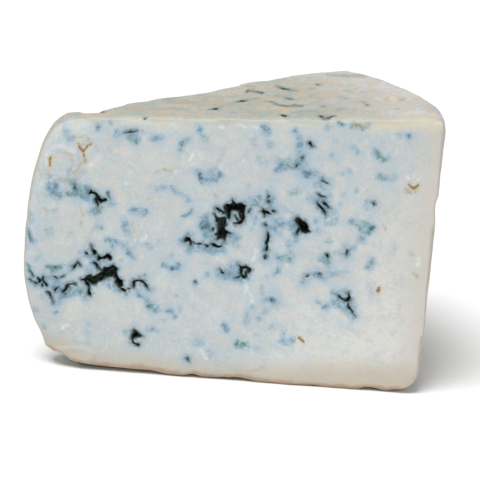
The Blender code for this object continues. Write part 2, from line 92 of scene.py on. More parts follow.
# Openings in the front cut face, each a chain
FRONT_OPENINGS = (
    # the long ragged one near the tip
    (18.2, 24.3, 0.2, 19.2, 24.5, 0.4, 20.2, 24.7, 0.9, 21.2, 24.3, 1.2, 22.3, 24.8, 1.0, 23.5, 25.5, 1.1,
     24.6, 26.5, 1.5, 25.5, 26.9, 1.4, 26.3, 27.6, 1.0),
    (20.4, 25.0, 0.4, 20.4, 25.6, 0.3),
    (19.0, 23.9, 0.3, 19.9, 23.2, 0.5, 20.2, 22.2, 0.3, 20.3, 21.4, 0.25, 20.5, 20.6, 0.45),
    (23.4, 25.3, 0.6, 24.0, 24.8, 0.4),
    (26.5, 26.6, 0.6, 27.4, 25.0, 0.5, 27.9, 24.1, 1.05, 27.9, 23.5, 0.7),
    (27.9, 25.0, 0.3, 28.6, 24.4, 0.3), (28.2, 22.7, 0.2, 28.9, 22.4, 0.35, 29.8, 21.9, 0.2),
    (30.1, 22.6, 0.2, 30.8, 22.8, 0.2),
    (31.8, 23.2, 0.2, 32.0, 24.0, 0.3, 31.7, 24.7, 0.35, 32.4, 24.9, 0.25, 33.3, 25.4, 0.3,
     34.0, 24.9, 0.35, 34.7, 24.4, 0.35, 35.2, 23.9, 0.25, 35.7, 23.0, 0.1),
    (22.3, 31.0, 0.2, 22.6, 30.0, 0.5, 23.3, 30.3, 0.35, 24.1, 30.7, 0.4, 24.7, 31.0, 0.6, 25.2, 30.6, 0.6,
     25.4, 30.1, 0.3),
    (20.3, 33.6, 0.1, 20.7, 32.6, 0.2, 21.2, 31.9, 0.45, 21.4, 31.4, 0.35),
    (19.3, 31.4, 0.25, 19.9, 30.8, 0.1),
    (21.2, 29.1, 0.2, 22.0, 28.4, 0.4, 22.5, 27.8, 0.3, 23.2, 27.0, 0.2),
    # its thin branches towards the tip
    (13.5, 20.8, 0.35, 14.2, 21.5, 0.35, 14.5, 22.3, 0.3, 14.9, 22.9, 0.25, 15.9, 22.9, 0.2,
     16.8, 22.8, 0.1),
    (14.5, 22.3, 0.3, 15.0, 22.0, 0.25), (11.3, 24.6, 0.25, 11.9, 24.3, 0.1),
    (12.8, 24.5, 0.1, 13.3, 24.7, 0.25, 13.6, 25.1, 0.1),
    (11.5, 21.0, 0.25, 11.9, 21.6, 0.2, 12.3, 22.1, 0.1), (14.1, 20.2, 0.2, 14.3, 20.1, 0.2),
    (4.8, 25.6, 0.2, 5.3, 24.9, 0.25, 5.8, 24.3, 0.1), (4.7, 23.3, 0.15, 5.4, 23.0, 0.1, 6.2, 22.5, 0.3),
    (6.9, 23.9, 0.2, 7.5, 23.4, 0.45, 7.0, 22.9, 0.2),
    (8.4, 24.7, 0.2, 8.3, 23.8, 0.25, 8.6, 23.1, 0.3, 9.3, 22.2, 0.25), (8.2, 22.3, 0.3, 8.3, 22.0, 0.25),
    (9.3, 20.6, 0.1, 9.8, 20.4, 0.3, 10.1, 19.9, 0.25, 10.6, 18.9, 0.1, 11.2, 17.7, 0.1),
    (16.1, 27.2, 0.2, 16.3, 27.8, 0.35, 16.7, 28.3, 0.2, 17.2, 28.9, 0.2, 17.7, 28.0, 0.25),
    # the hooked one in the middle
    (56.4, 47.9, 0.2, 56.8, 47.2, 0.4, 56.6, 46.3, 1.1),
    (55.1, 45.8, 0.9, 56.2, 46.2, 1.1, 57.6, 46.2, 1.0, 58.7, 46.3, 1.0, 59.2, 46.8, 0.3, 59.9, 46.8, 0.1),
    (55.3, 45.7, 1.2, 55.5, 44.5, 0.6, 55.4, 43.4, 0.5), (55.7, 43.3, 0.3, 54.6, 44.6, 0.3),
    (58.8, 46.1, 0.7, 58.9, 45.0, 0.6, 59.3, 43.9, 0.45, 59.1, 42.9, 0.4, 58.5, 42.2, 0.45,
     57.7, 41.9, 0.25, 57.0, 41.9, 0.1),
    (58.3, 44.8, 0.3, 58.7, 43.7, 0.3), (57.2, 44.1, 0.1, 57.9, 42.9, 0.25),
    (52.3, 45.6, 0.35, 53.2, 45.0, 0.3, 54.1, 44.5, 0.35),
    (51.8, 44.0, 0.15, 52.3, 43.2, 0.25, 53.0, 42.7, 0.3),
    (52.5, 42.5, 0.4, 53.8, 42.4, 1.1, 53.8, 41.5, 1.1, 53.7, 40.4, 0.95, 53.9, 39.3, 1.1, 54.0, 38.6, 1.2,
     54.6, 37.7, 0.5, 54.8, 37.1, 0.2),
    (54.2, 39.1, 1.0, 55.2, 39.3, 0.5, 56.3, 39.2, 0.1), (54.2, 41.5, 0.7, 54.9, 41.3, 0.2),
    (53.3, 38.8, 0.5, 52.4, 38.8, 0.25), (53.2, 38.3, 0.5, 52.8, 37.5, 0.3),
    (44.6, 36.6, 0.4, 45.3, 37.0, 0.55, 45.9, 36.5, 0.35, 46.2, 35.7, 0.25),
    (46.6, 36.3, 0.1, 47.3, 35.9, 0.1, 48.1, 35.8, 0.25, 48.9, 36.0, 0.1, 49.8, 35.8, 0.1, 50.4, 35.5, 0.3),
    (51.1, 35.9, 0.1, 51.8, 36.3, 0.2, 52.0, 35.8, 0.4, 52.9, 35.6, 0.3, 53.8, 35.6, 0.3),
    (51.7, 40.3, 0.2, 51.7, 39.9, 0.2), (60.8, 46.1, 0.15, 60.6, 45.6, 0.1, 60.5, 45.1, 0.2),
    (64.0, 46.4, 0.1, 64.4, 45.8, 0.35, 63.8, 45.5, 0.15),
    (64.4, 45.6, 0.45, 65.2, 45.4, 0.4, 66.3, 45.1, 0.1), (64.6, 45.2, 0.3, 64.6, 44.3, 0.1),
    (66.4, 46.2, 0.1, 66.9, 46.0, 0.3, 67.4, 45.8, 0.15), (65.5, 49.7, 0.2, 65.4, 49.2, 0.2),
    (65.6, 48.5, 0.2, 65.7, 48.1, 0.25), (64.9, 42.3, 0.2, 65.1, 42.0, 0.25),
    # the slit left by a needle, and the hole beside it
    (65.6, 40.3, 0.1, 65.6, 39.5, 0.3, 65.8, 38.7, 0.5, 65.6, 37.8, 0.4, 65.6, 36.7, 0.3, 65.6, 35.6, 0.4,
     65.6, 35.0, 0.1),
    (65.4, 33.9, 0.2, 65.4, 33.4, 0.2),
    (73.2, 43.8, 0.75, 74.2, 42.8, 1.2, 74.7, 41.9, 1.25, 75.2, 41.4, 0.8, 75.9, 41.2, 0.35),
    (73.4, 41.5, 0.4, 73.1, 40.2, 0.2),
    # slits and pits between them and the rim
    (78.1, 51.1, 0.1, 78.7, 50.7, 0.2, 79.5, 50.4, 0.1),
    (79.3, 49.0, 0.15, 80.0, 48.6, 0.3, 80.7, 47.9, 0.2, 81.3, 47.5, 0.1),
    (77.6, 48.8, 0.1, 78.1, 48.4, 0.2, 78.8, 47.7, 0.35, 79.5, 47.1, 0.35, 79.9, 46.4, 0.3,
     80.2, 45.7, 0.1),
    (78.9, 54.6, 0.15, 80.2, 54.1, 0.15), (75.1, 64.0, 0.3, 75.9, 63.3, 0.1),
    (73.6, 60.3, 0.2, 73.3, 59.8, 0.0), (72.6, 58.4, 0.0, 72.2, 57.8, 0.2),
    (92.0, 50.0, 0.1, 92.3, 49.5, 0.2), (81.1, 35.6, 0.25, 81.35, 35.0, 0.25),
    (86.2, 36.9, 0.25, 86.1, 36.0, 0.25), (76.4, 29.5, 0.25, 76.0, 29.1, 0.1),
    (79.2, 30.4, 0.15, 80.0, 29.9, 0.1), (53.9, 29.5, 0.1, 54.4, 29.0, 0.2, 54.8, 28.8, 0.25),
    (58.6, 31.2, 0.1, 59.0, 30.5, 0.25, 59.8, 30.4, 0.4, 60.7, 30.6, 0.4, 61.4, 30.0, 0.4, 61.2, 29.4, 0.4),
    (59.2, 30.2, 0.3, 59.3, 29.5, 0.4, 59.3, 28.6, 0.3, 60.0, 28.1, 0.5, 60.7, 28.0, 0.3),
    (60.7, 29.3, 0.3, 60.5, 28.4, 0.3), (58.0, 27.6, 0.1, 59.2, 28.1, 0.2),
    (84.4, 25.2, 0.1, 85.1, 24.5, 0.25, 85.9, 23.9, 0.2, 86.8, 23.6, 0.3),
    (87.1, 26.0, 0.1, 87.2, 25.3, 0.25, 87.5, 24.6, 0.35, 87.1, 24.1, 0.35, 87.0, 23.6, 0.2),
    (87.3, 22.9, 0.2, 87.5, 21.9, 0.3, 88.1, 21.1, 0.2, 88.9, 20.0, 0.1),
    # low and high on the side of the tip
    (32.3, 11.7, 0.2, 32.4, 11.0, 0.5, 32.7, 10.4, 0.95, 33.4, 10.3, 0.5, 34.4, 10.1, 0.2),
    (32.4, 12.0, 0.1, 33.3, 11.0, 0.35, 34.4, 10.1, 0.15),
    (32.1, 10.2, 0.5, 32.1, 9.1, 0.25, 32.5, 8.2, 0.25, 33.1, 7.9, 0.25, 33.6, 7.8, 0.25),
    (46.6, 5.2, 0.2, 46.8, 4.8, 0.2), (28.3, 63.7, 0.1, 29.7, 63.8, 0.2, 31.0, 64.1, 0.1),
    (19.7, 48.1, 0.2, 19.9, 47.5, 0.45, 20.5, 47.6, 0.3, 21.2, 47.2, 0.35, 21.7, 46.5, 0.4, 21.9, 45.7, 0.5,
     22.5, 45.5, 0.5, 23.2, 45.5, 0.3, 23.7, 45.8, 0.4),
    (21.2, 45.9, 0.3, 21.5, 44.8, 0.3, 22.1, 43.8, 0.15), (24.2, 47.7, 0.1, 24.5, 46.6, 0.1),
    (15.4, 49.5, 0.1, 15.9, 49.0, 0.1, 15.8, 48.3, 0.25),
)

# Lumps of curd left standing in those openings: (distance along the face, height, radius) in mm
ISLANDS = ((24.7, 29.2, 0.6), (57.2, 44.9, 0.25), (53.2, 43.9, 0.8), (53.5, 37.0, 0.6))

# Dark green and olive streaks beside the openings, not quite black, each a mark
DARK_STREAKS = (
    (0.75, 20.3, 28.9, 0.3, 21.4, 28.1, 0.3, 22.4, 27.2, 0.3), (0.8, 26.4, 29.4, 0.3, 26.7, 28.6, 0.3),
    (0.8, 27.1, 26.4, 0.2, 27.9, 25.2, 0.2), (0.7, 27.5, 22.2, 0.4, 28.2, 22.2, 0.3),
    (0.6, 30.5, 25.0, 0.15, 31.6, 24.9, 0.15), (0.7, 34.0, 21.0, 0.3, 33.0, 22.0, 0.15),
    (0.75, 18.6, 21.1, 0.3, 19.0, 20.9, 0.3), (0.6, 17.0, 22.9, 0.1, 17.6, 21.4, 0.1),
    (0.75, 4.0, 27.3, 0.3, 4.8, 26.0, 0.2), (0.75, 10.6, 25.9, 0.2, 10.7, 25.6, 0.2),
    (0.6, 13.6, 25.1, 0.05, 14.2, 25.7, 0.05, 15.2, 26.2, 0.05), (0.6, 11.8, 24.3, 0.1, 12.9, 24.5, 0.1),
    (0.7, 14.0, 19.6, 0.05, 13.3, 18.9, 0.25), (0.45, 13.2, 18.8, 0.2, 12.8, 17.3, 0.1),
    (0.6, 11.9, 22.8, 0.1, 12.8, 22.2, 0.2), (0.55, 11.2, 17.7, 0.1, 11.8, 16.5, 0.05),
    (0.7, 5.3, 22.2, 0.2, 5.9, 21.9, 0.2), (0.65, 7.2, 21.7, 0.3), (0.7, 49.8, 43.3, 0.3, 49.8, 42.8, 0.3),
    (0.6, 49.8, 39.0, 0.3), (0.6, 56.4, 39.3, 0.05, 58.3, 38.2, 0.1), (0.65, 57.9, 38.5, 0.2),
    (0.7, 60.0, 47.0, 0.1, 61.9, 46.9, 0.2), (0.6, 62.9, 46.7, 0.1, 64.0, 46.3, 0.1),
    (0.85, 54.5, 45.2, 0.25, 54.5, 43.2, 0.3), (0.8, 46.0, 35.8, 0.3, 45.8, 35.2, 0.3),
    (0.7, 53.9, 35.8, 0.1, 54.6, 36.8, 0.1), (0.75, 58.1, 43.9, 0.3, 58.6, 42.8, 0.3),
    (0.7, 65.6, 40.6, 0.15, 65.5, 40.0, 0.2), (0.6, 65.2, 33.1, 0.1, 65.1, 32.8, 0.1),
    (0.6, 64.4, 35.3, 0.2), (0.8, 65.1, 50.7, 0.15, 65.6, 49.4, 0.35, 65.7, 48.4, 0.25),
    (0.9, 72.5, 43.6, 0.35, 72.9, 43.4, 0.3), (0.75, 63.8, 42.3, 0.2, 64.6, 42.4, 0.2),
    (0.65, 64.6, 44.3, 0.1, 64.9, 42.8, 0.1), (0.8, 80.1, 44.1, 0.15),
    (0.8, 79.6, 48.3, 0.2, 80.1, 47.4, 0.2), (0.75, 53.2, 29.4, 0.2),
    (0.6, 57.2, 31.1, 0.1, 58.6, 31.2, 0.1), (0.65, 56.8, 30.6, 0.3), (0.75, 60.1, 29.1, 0.5),
    (0.6, 61.6, 30.0, 0.1, 62.3, 30.0, 0.1),
    (0.5, 53.1, 29.0, 0.2, 53.9, 27.8, 0.3, 55.1, 27.3, 0.3, 57.5, 27.2, 0.3, 59.3, 27.3, 0.3),
    (0.6, 20.6, 44.5, 0.2), (0.85, 20.8, 23.1, 0.5, 21.6, 23.4, 0.5),
    (0.8, 16.0, 23.6, 0.35, 17.0, 22.9, 0.35), (0.8, 25.2, 23.3, 0.4, 25.6, 22.7, 0.35),
    (0.8, 24.2, 24.9, 0.35), (0.8, 72.3, 40.3, 0.45, 72.6, 39.5, 0.35), (0.6, 11.8, 23.1, 0.3),
    (0.6, 60.4, 46.6, 0.35, 60.5, 46.0, 0.3), (0.65, 62.4, 44.4, 0.3, 62.2, 42.2, 0.25),
)

# Brown and orange tears in the front cut face, each a chain
BROWN_TEARS = (
    (16.3, 60.3, 0.1, 16.7, 59.0, 0.2, 17.7, 57.9, 0.2, 18.2, 55.2, 0.1),
    (17.7, 57.9, 0.2, 18.4, 59.4, 0.1, 19.8, 60.3, 0.1),
    (100.5, 55.3, 0.2, 101.2, 54.5, 0.3, 102.1, 54.3, 0.3, 103.1, 55.2, 0.2),
    (94.8, 27.9, 0.3, 94.6, 26.9, 0.3), (75.3, 13.0, 0.3, 76.4, 12.0, 0.2),
    (9.3, 56.0, 0.2, 9.3, 53.8, 0.2),
)

# Fine tan creases, and white painted glints there, each a chain
CREASES = (
    (5.4, 54.0, 0.1, 6.4, 51.9, 0.2, 8.2, 49.4, 0.2, 10.3, 47.3, 0.1),
    (11.7, 57.8, 0.1, 13.5, 57.5, 0.25, 14.9, 56.9, 0.2, 15.3, 55.4, 0.1, 14.2, 52.8, 0.1, 13.2, 50.1, 0.1),
    (9.4, 56.4, 0.3, 9.3, 54.0, 0.4), (14.0, 61.0, 0.5, 16.2, 61.8, 0.5, 18.8, 61.4, 0.3),
    (8.6, 52.6, 0.1, 9.4, 50.8, 0.1, 11.2, 49.2, 0.1), (15.0, 51.9, 0.2, 16.4, 53.4, 0.2, 17.4, 55.6, 0.2),
    (36.5, 53.9, 0.1, 38.4, 54.7, 0.25, 40.8, 54.8, 0.2), (35.0, 50.1, 0.3),
    (34.6, 46.9, 0.1, 36.4, 44.8, 0.2), (99.8, 53.6, 0.3, 101.4, 53.2, 0.5, 102.6, 53.7, 0.4),
    (101.6, 37.9, 0.2, 102.9, 37.0, 0.2), (103.0, 32.4, 0.15, 104.4, 31.4, 0.2),
    (95.0, 44.6, 0.15, 95.4, 42.8, 0.15), (30.6, 41.0, 0.1, 31.4, 39.0, 0.1, 31.0, 36.6, 0.1),
    (17.4, 44.2, 0.15, 18.0, 41.2, 0.2, 17.4, 38.6, 0.1),
)
# The painted glints: small white highlights painted on the front cut face
PAINTED_GLINTS = (
    (8.1, 56.2, 0.3, 8.2, 54.6, 0.4), (33.5, 66.6, 0.3, 37.8, 67.2, 0.5, 41.0, 66.4, 0.3),
    (51.8, 67.5, 0.4, 53.0, 66.6, 0.5), (57.0, 67.8, 0.3, 58.5, 66.8, 0.5),
    (60.0, 67.6, 0.3, 61.6, 67.2, 0.5), (41.2, 54.3, 0.2, 42.4, 54.7, 0.3),
    (15.4, 61.0, 0.2, 18.3, 60.6, 0.2), (29.1, 50.5, 0.4), (44.6, 57.2, 0.15, 46.4, 60.4, 0.2),
    (45.6, 56.6, 0.15, 47.4, 59.8, 0.2), (46.7, 56.4, 0.1, 48.3, 59.0, 0.2),
    (99.9, 57.0, 0.2, 101.3, 56.4, 0.4, 103.0, 56.8, 0.2), (104.0, 34.6, 0.4, 104.2, 36.4, 0.3),
    (18.4, 28.5, 0.2, 19.6, 29.4, 0.4), (33.6, 35.8, 0.4, 35.0, 37.4, 0.3),
    (9.8, 50.2, 0.4, 11.6, 51.8, 0.5), (30.4, 34.2, 0.3, 31.6, 35.8, 0.3),
    (60.8, 26.2, 0.3, 62.6, 21.6, 0.4), (13.4, 10.6, 0.3, 15.2, 12.2, 0.3),
    (49.4, 8.6, 0.3, 51.8, 5.4, 0.4), (87.4, 27.2, 0.3, 88.6, 25.6, 0.3),
    (63.4, 35.2, 0.4, 62.2, 32.4, 0.3),
)

# Torn flakes on the front cut face, in mm: distance along the face, height, half width, half height and rise
FLAKES = (
    (13.0, 54.5, 5.5, 5.0, 0.6), (19.0, 57.5, 3.0, 3.5, -0.5), (9.0, 46.0, 3.0, 4.5, 0.4),
    (19.5, 41.0, 2.5, 5.0, 0.4), (49.5, 60.0, 4.0, 6.0, 0.4), (17.0, 4.0, 7.0, 2.2, 0.5),
    (63.0, 23.0, 3.0, 7.0, 0.3), (62.0, 6.0, 5.0, 4.0, 0.3),
)

# The back cut face has openings of the same kinds, laid out by chance, in clusters and singly. A cluster's
# branches are given by their place from its centre, their steps and their widest half width.
BACK_SEED = 11
BACK_CLUSTERS = ((26, 40), (58, 27), (74, 50))
CLUSTER_BRANCHES = ((0, 0, 7, 1.5), (2, 3, 3, 0.7), (-4, -1, 2, 0.5))
BACK_SINGLES = 12

# Openings, in mm: how deep a wide one goes, how soon it reaches that, how far its edge strays and in lumps of
# what size, how far the surface sags at it, and over what distance
OPENING_DEPTH = 4.2
OPENING_SLOPE = 0.8
RAGGEDNESS = 0.3
RAGGED_SIZE = 1.1
SAG = 0.25
SAG_REACH = 0.5

# Pits in the top, each (distance from the tip in mm, degrees from the front cut, radius in mm)
TOP_PITS = (
    (61, 24, 1.2), (68, 3, 0.9), (78.5, 2.7, 1.2), (51, 13, 0.9), (33, 3, 0.7), (25, 36, 1.3), (79, 12, 0.7),
    (77, 31, 0.9), (88, 32, 0.7), (97, 15, 0.7),
)
TOP_PIT_DEPTH = 0.7

# Pits in the rim, laid out by chance between these degrees, heights and radii
RIM_SEED = 5
RIM_PITS = 9
RIM_PIT_SPANS = ((7, 38), (10, 62), (0.6, 1.4))
RIM_PIT_DEPTH = 1.2

# The unevenness of the whole surface, in mm: broad swells, and finer bumps that are rougher on the rind
SWELL = 0.35
SWELL_SIZE = 14
ROUGH_PASTE = 0.10
ROUGHER_RIND = 0.06
ROUGH_SIZE = 4

# Mould that shows through the front cut face, each a mark
FRONT_MOULD = (
    # near the tip, above the long opening
    (0.4, 12.2, 64.1, 0.4), (0.35, 13.3, 62.2, 1.2, 15.0, 60.5, 1.0),
    (0.8, 20.9, 65.2, 0.5, 21.5, 64.5, 0.6), (0.5, 24.3, 66.0, 0.6), (0.55, 26.0, 63.2, 0.9),
    (0.55, 29.4, 62.6, 1.1, 31.2, 61.8, 0.9), (0.65, 32.2, 64.4, 0.6), (0.75, 36.1, 63.0, 0.5),
    (0.35, 35.2, 63.0, 1.2, 38.0, 62.6, 0.9), (0.4, 14.3, 52.8, 0.6), (0.4, 14.2, 50.4, 0.6),
    (0.45, 8.8, 50.2, 0.8, 9.6, 48.4, 1.2, 11.3, 46.4, 1.2), (0.9, 10.8, 49.0, 0.3, 11.0, 48.4, 0.3),
    (0.25, 8.9, 47.0, 1.4, 10.6, 45.8, 1.2), (0.6, 12.8, 46.7, 0.7, 15.6, 46.8, 0.7),
    (0.95, 15.5, 49.2, 0.3, 16.1, 48.0, 0.4), (0.55, 16.6, 48.6, 1.2, 19.2, 48.2, 1.2),
    (0.6, 16.3, 47.0, 0.5, 19.2, 46.0, 0.6), (0.6, 20.7, 42.6, 0.9, 22.2, 43.0, 0.7),
    (0.5, 25.0, 45.3, 0.6, 26.3, 44.9, 0.5), (0.55, 4.4, 40.6, 0.8, 4.1, 38.6, 0.7),
    (0.9, 3.7, 36.6, 0.5, 4.4, 35.1, 0.6, 4.8, 34.1, 0.5), (0.4, 5.6, 33.6, 0.9),
    (0.7, 3.4, 32.8, 0.2, 3.9, 31.6, 0.2), (0.75, 3.7, 27.2, 0.4, 4.9, 25.5, 0.5), (0.45, 6.5, 29.0, 0.7),
    (0.35, 7.9, 30.6, 0.6), (0.3, 9.6, 36.5, 1.3), (0.3, 14.9, 36.2, 0.8), (0.75, 23.2, 38.6, 0.3),
    (0.5, 28.6, 41.2, 0.9, 29.2, 39.2, 1.1, 29.8, 37.4, 0.8),
    # between the upper left and the hooked opening
    (0.75, 42.7, 61.6, 0.4), (0.45, 42.7, 60.8, 0.9, 43.0, 62.0, 0.8, 44.6, 63.2, 0.8),
    (0.4, 46.5, 66.8, 0.4, 47.1, 65.6, 0.5), (0.35, 47.4, 65.6, 0.8, 48.6, 63.5, 0.9),
    (0.85, 47.7, 53.8, 0.4, 48.6, 52.8, 0.5), (0.4, 47.0, 54.6, 0.9, 49.0, 52.4, 0.9),
    (0.55, 50.6, 52.9, 0.8, 52.0, 53.4, 0.9, 53.0, 54.6, 0.8),
    (0.5, 38.4, 50.0, 0.7, 40.4, 50.3, 0.5, 41.6, 49.5, 0.5, 43.6, 48.3, 0.7, 45.2, 47.3, 0.7),
    (0.6, 40.6, 50.1, 0.3, 41.6, 49.3, 0.3), (0.55, 52.2, 48.9, 0.5), (0.4, 36.8, 49.6, 0.5),
    (0.6, 30.4, 43.5, 0.7, 32.2, 43.6, 0.7, 34.0, 43.2, 0.8), (0.7, 34.0, 43.0, 0.4),
    (0.75, 43.4, 43.3, 0.5, 44.4, 43.2, 0.5, 45.3, 43.8, 0.5, 46.0, 44.5, 0.5),
    (0.7, 49.6, 42.6, 0.6, 49.5, 41.2, 0.9), (0.65, 50.0, 38.7, 0.7),
    (0.5, 50.8, 40.6, 0.9, 51.6, 38.6, 0.8), (0.5, 45.4, 38.4, 0.8, 46.6, 38.3, 0.7),
    (0.5, 43.8, 36.1, 0.9, 45.2, 35.4, 0.6), (0.5, 45.8, 34.2, 0.9, 48.6, 34.7, 0.6, 51.6, 34.4, 0.7),
    (0.6, 57.0, 38.9, 0.5, 58.5, 38.2, 0.5), (0.4, 56.6, 37.6, 1.2, 57.6, 36.4, 1.0),
    (0.4, 50.6, 54.9, 1.0, 52.0, 55.4, 1.0),
    # above and between the hooked opening, the slit and the round hole
    (0.65, 63.5, 67.4, 1.1, 64.2, 66.4, 1.0), (0.45, 65.2, 63.1, 0.9), (0.35, 61.2, 63.6, 1.2),
    (0.6, 71.3, 66.8, 0.8, 72.2, 65.4, 0.8, 72.4, 63.8, 0.8), (0.35, 72.5, 62.2, 1.0, 72.6, 61.0, 0.8),
    (0.85, 73.7, 60.2, 0.3), (0.75, 72.2, 59.1, 0.4, 72.2, 57.9, 0.3),
    (0.65, 72.3, 57.7, 0.3, 73.8, 57.0, 0.5, 74.8, 56.0, 0.6), (0.4, 73.4, 58.6, 1.4),
    (0.4, 74.3, 56.0, 0.9, 75.6, 55.6, 0.7), (0.45, 75.9, 56.9, 0.8),
    (0.65, 66.9, 56.3, 0.5, 68.2, 57.3, 0.8, 69.6, 57.4, 0.8, 71.2, 57.6, 0.7),
    (0.4, 67.8, 58.8, 0.9, 69.8, 59.0, 0.9), (0.4, 62.5, 59.5, 0.7, 64.0, 58.2, 0.7),
    (0.55, 77.3, 56.6, 1.0, 78.8, 55.6, 0.9), (0.7, 77.6, 53.6, 0.9, 79.0, 53.0, 0.8),
    (0.5, 70.9, 50.8, 0.5, 72.6, 51.2, 0.7, 73.8, 52.2, 0.6), (0.4, 65.9, 52.0, 0.4),
    (0.9, 65.1, 51.0, 0.4, 65.9, 49.6, 0.4, 65.6, 48.2, 0.4), (0.6, 66.8, 49.5, 0.4),
    (0.6, 63.3, 49.5, 0.5), (0.55, 60.8, 48.9, 0.6, 61.8, 49.1, 0.5), (0.65, 62.7, 47.9, 0.7),
    (0.5, 71.5, 46.0, 0.5), (0.35, 69.4, 46.2, 1.0), (0.6, 78.0, 44.2, 0.7), (0.6, 80.6, 43.8, 0.3),
    (0.5, 79.1, 45.9, 0.5), (0.55, 69.6, 42.2, 0.9, 71.4, 42.1, 1.1), (0.65, 67.2, 41.4, 1.0),
    (0.75, 64.4, 42.2, 0.6), (0.9, 65.5, 41.7, 0.4), (0.6, 61.6, 40.8, 0.4), (0.55, 69.0, 40.2, 0.4),
    (0.45, 78.4, 41.4, 1.1), (0.55, 73.2, 39.6, 0.5, 72.8, 38.6, 0.5), (0.35, 60.3, 52.2, 0.5),
    (0.45, 64.8, 36.8, 0.6, 64.7, 34.8, 0.5), (0.9, 65.6, 33.6, 0.3),
    (0.65, 68.4, 34.2, 0.9, 69.8, 34.3, 0.9), (0.6, 72.1, 35.0, 0.7, 71.6, 33.3, 0.6),
    (0.4, 71.3, 38.2, 0.6, 71.8, 35.6, 0.6), (0.45, 69.4, 32.2, 0.7), (0.6, 68.9, 30.2, 0.8),
    (0.4, 67.9, 29.2, 0.4), (0.4, 66.0, 28.8, 0.6),
    # towards the rim
    (0.5, 79.3, 68.4, 0.9), (0.85, 86.1, 70.3, 0.25, 86.6, 69.4, 0.3),
    (0.85, 87.5, 69.8, 0.3, 88.2, 68.7, 0.4), (0.5, 85.4, 69.2, 0.8, 88.8, 69.3, 1.0),
    (0.9, 81.8, 69.9, 0.25, 83.0, 69.5, 0.25), (0.4, 81.7, 65.2, 0.5), (0.7, 86.2, 64.0, 0.5),
    (0.5, 87.3, 62.7, 0.5), (0.65, 81.2, 61.5, 0.4), (0.75, 99.7, 67.7, 0.6), (0.35, 97.2, 67.6, 0.9),
    (0.6, 91.2, 63.4, 0.7, 92.4, 62.1, 0.8, 93.7, 61.2, 0.8), (0.55, 95.0, 62.7, 0.2, 95.2, 61.3, 0.2),
    (0.65, 85.6, 57.6, 0.6), (0.4, 83.9, 56.8, 0.4), (0.5, 93.2, 57.1, 0.9, 94.2, 56.2, 0.7),
    (0.45, 95.3, 56.6, 0.6), (0.3, 97.2, 56.5, 1.0), (0.5, 87.6, 52.8, 0.6), (0.6, 84.5, 51.5, 0.4),
    (0.35, 81.2, 51.1, 0.8), (0.45, 90.6, 49.2, 1.0), (0.35, 83.4, 48.8, 0.3),
    (0.55, 82.8, 45.7, 0.7, 82.4, 44.1, 1.0),
    (0.65, 86.7, 44.9, 0.5, 88.8, 44.3, 0.9, 90.6, 43.7, 0.9, 92.2, 42.9, 0.7), (0.8, 90.4, 44.2, 0.4),
    (0.8, 92.4, 43.6, 0.4), (0.7, 88.8, 43.1, 0.5), (0.6, 91.5, 42.2, 0.7),
    (0.45, 89.6, 41.4, 1.0, 89.6, 39.4, 0.9), (0.6, 81.4, 39.1, 0.9), (0.35, 85.4, 38.6, 0.5),
    (0.5, 82.8, 36.5, 0.5, 85.2, 36.0, 0.6), (0.4, 87.9, 37.6, 0.8),
    (0.65, 80.0, 34.3, 0.8, 81.6, 33.8, 0.7), (0.3, 81.5, 32.6, 0.7),
    (0.5, 92.8, 34.9, 0.8, 91.8, 33.2, 0.9), (0.65, 78.3, 30.1, 0.7, 80.6, 29.2, 0.6),
    (0.5, 82.0, 30.6, 0.7, 85.4, 30.8, 0.7), (0.4, 86.3, 31.8, 0.4), (0.7, 75.6, 28.0, 0.5),
    (0.55, 83.2, 25.6, 0.8, 84.0, 24.8, 0.7), (0.7, 84.2, 23.2, 1.0, 85.2, 22.0, 0.9),
    (0.75, 81.5, 21.6, 0.6), (0.35, 79.7, 23.0, 0.8), (0.4, 80.8, 22.2, 1.2, 83.6, 22.2, 0.8),
    (0.5, 86.6, 21.3, 0.6, 88.8, 18.8, 0.6), (0.45, 88.9, 20.8, 0.4, 90.2, 19.4, 0.4),
    (0.4, 92.6, 27.0, 0.4, 92.8, 25.4, 0.4), (0.2, 92.7, 28.7, 1.4),
    (0.4, 97.9, 39.2, 0.2, 98.2, 38.0, 0.2),
    # low on the side of the tip
    (0.55, 24.2, 35.4, 0.8, 26.4, 35.3, 0.8), (0.55, 26.2, 33.5, 0.6),
    (0.75, 9.6, 27.2, 0.7, 11.4, 26.8, 1.0, 12.9, 27.5, 0.7), (0.75, 10.5, 26.0, 0.4),
    (0.5, 9.9, 24.8, 0.5), (0.5, 17.8, 31.5, 0.5), (0.65, 28.5, 30.6, 0.5), (0.45, 12.5, 23.6, 1.1),
    (0.4, 7.9, 19.3, 0.6), (0.75, 12.9, 19.0, 0.4),
    (0.55, 14.0, 20.2, 0.4, 12.9, 18.8, 0.5, 12.2, 17.4, 0.4), (0.8, 18.7, 20.7, 0.4),
    (0.55, 6.1, 15.4, 0.7), (0.65, 11.8, 15.1, 0.5), (0.5, 8.5, 10.7, 0.6), (0.35, 20.6, 12.7, 0.6),
    (0.35, 20.2, 10.0, 0.6, 20.4, 7.2, 0.6), (0.4, 27.6, 35.0, 0.8, 30.0, 33.7, 0.8),
    (0.7, 30.3, 32.2, 0.7, 31.0, 31.6, 0.6), (0.55, 32.2, 31.3, 0.6),
    (0.35, 34.4, 34.6, 0.9, 36.2, 34.3, 0.8), (0.3, 38.0, 36.0, 0.6),
    (0.65, 39.5, 29.8, 0.6, 41.0, 29.0, 0.8, 42.6, 29.3, 0.6), (0.8, 41.2, 29.1, 0.4),
    (0.8, 43.1, 30.8, 0.5), (0.65, 43.4, 29.8, 0.6), (0.4, 41.1, 32.6, 0.6), (0.9, 47.9, 25.9, 0.35),
    (0.45, 47.6, 25.6, 0.9), (0.45, 50.6, 28.1, 1.0), (0.65, 34.6, 26.7, 0.7), (0.4, 37.0, 23.2, 0.7),
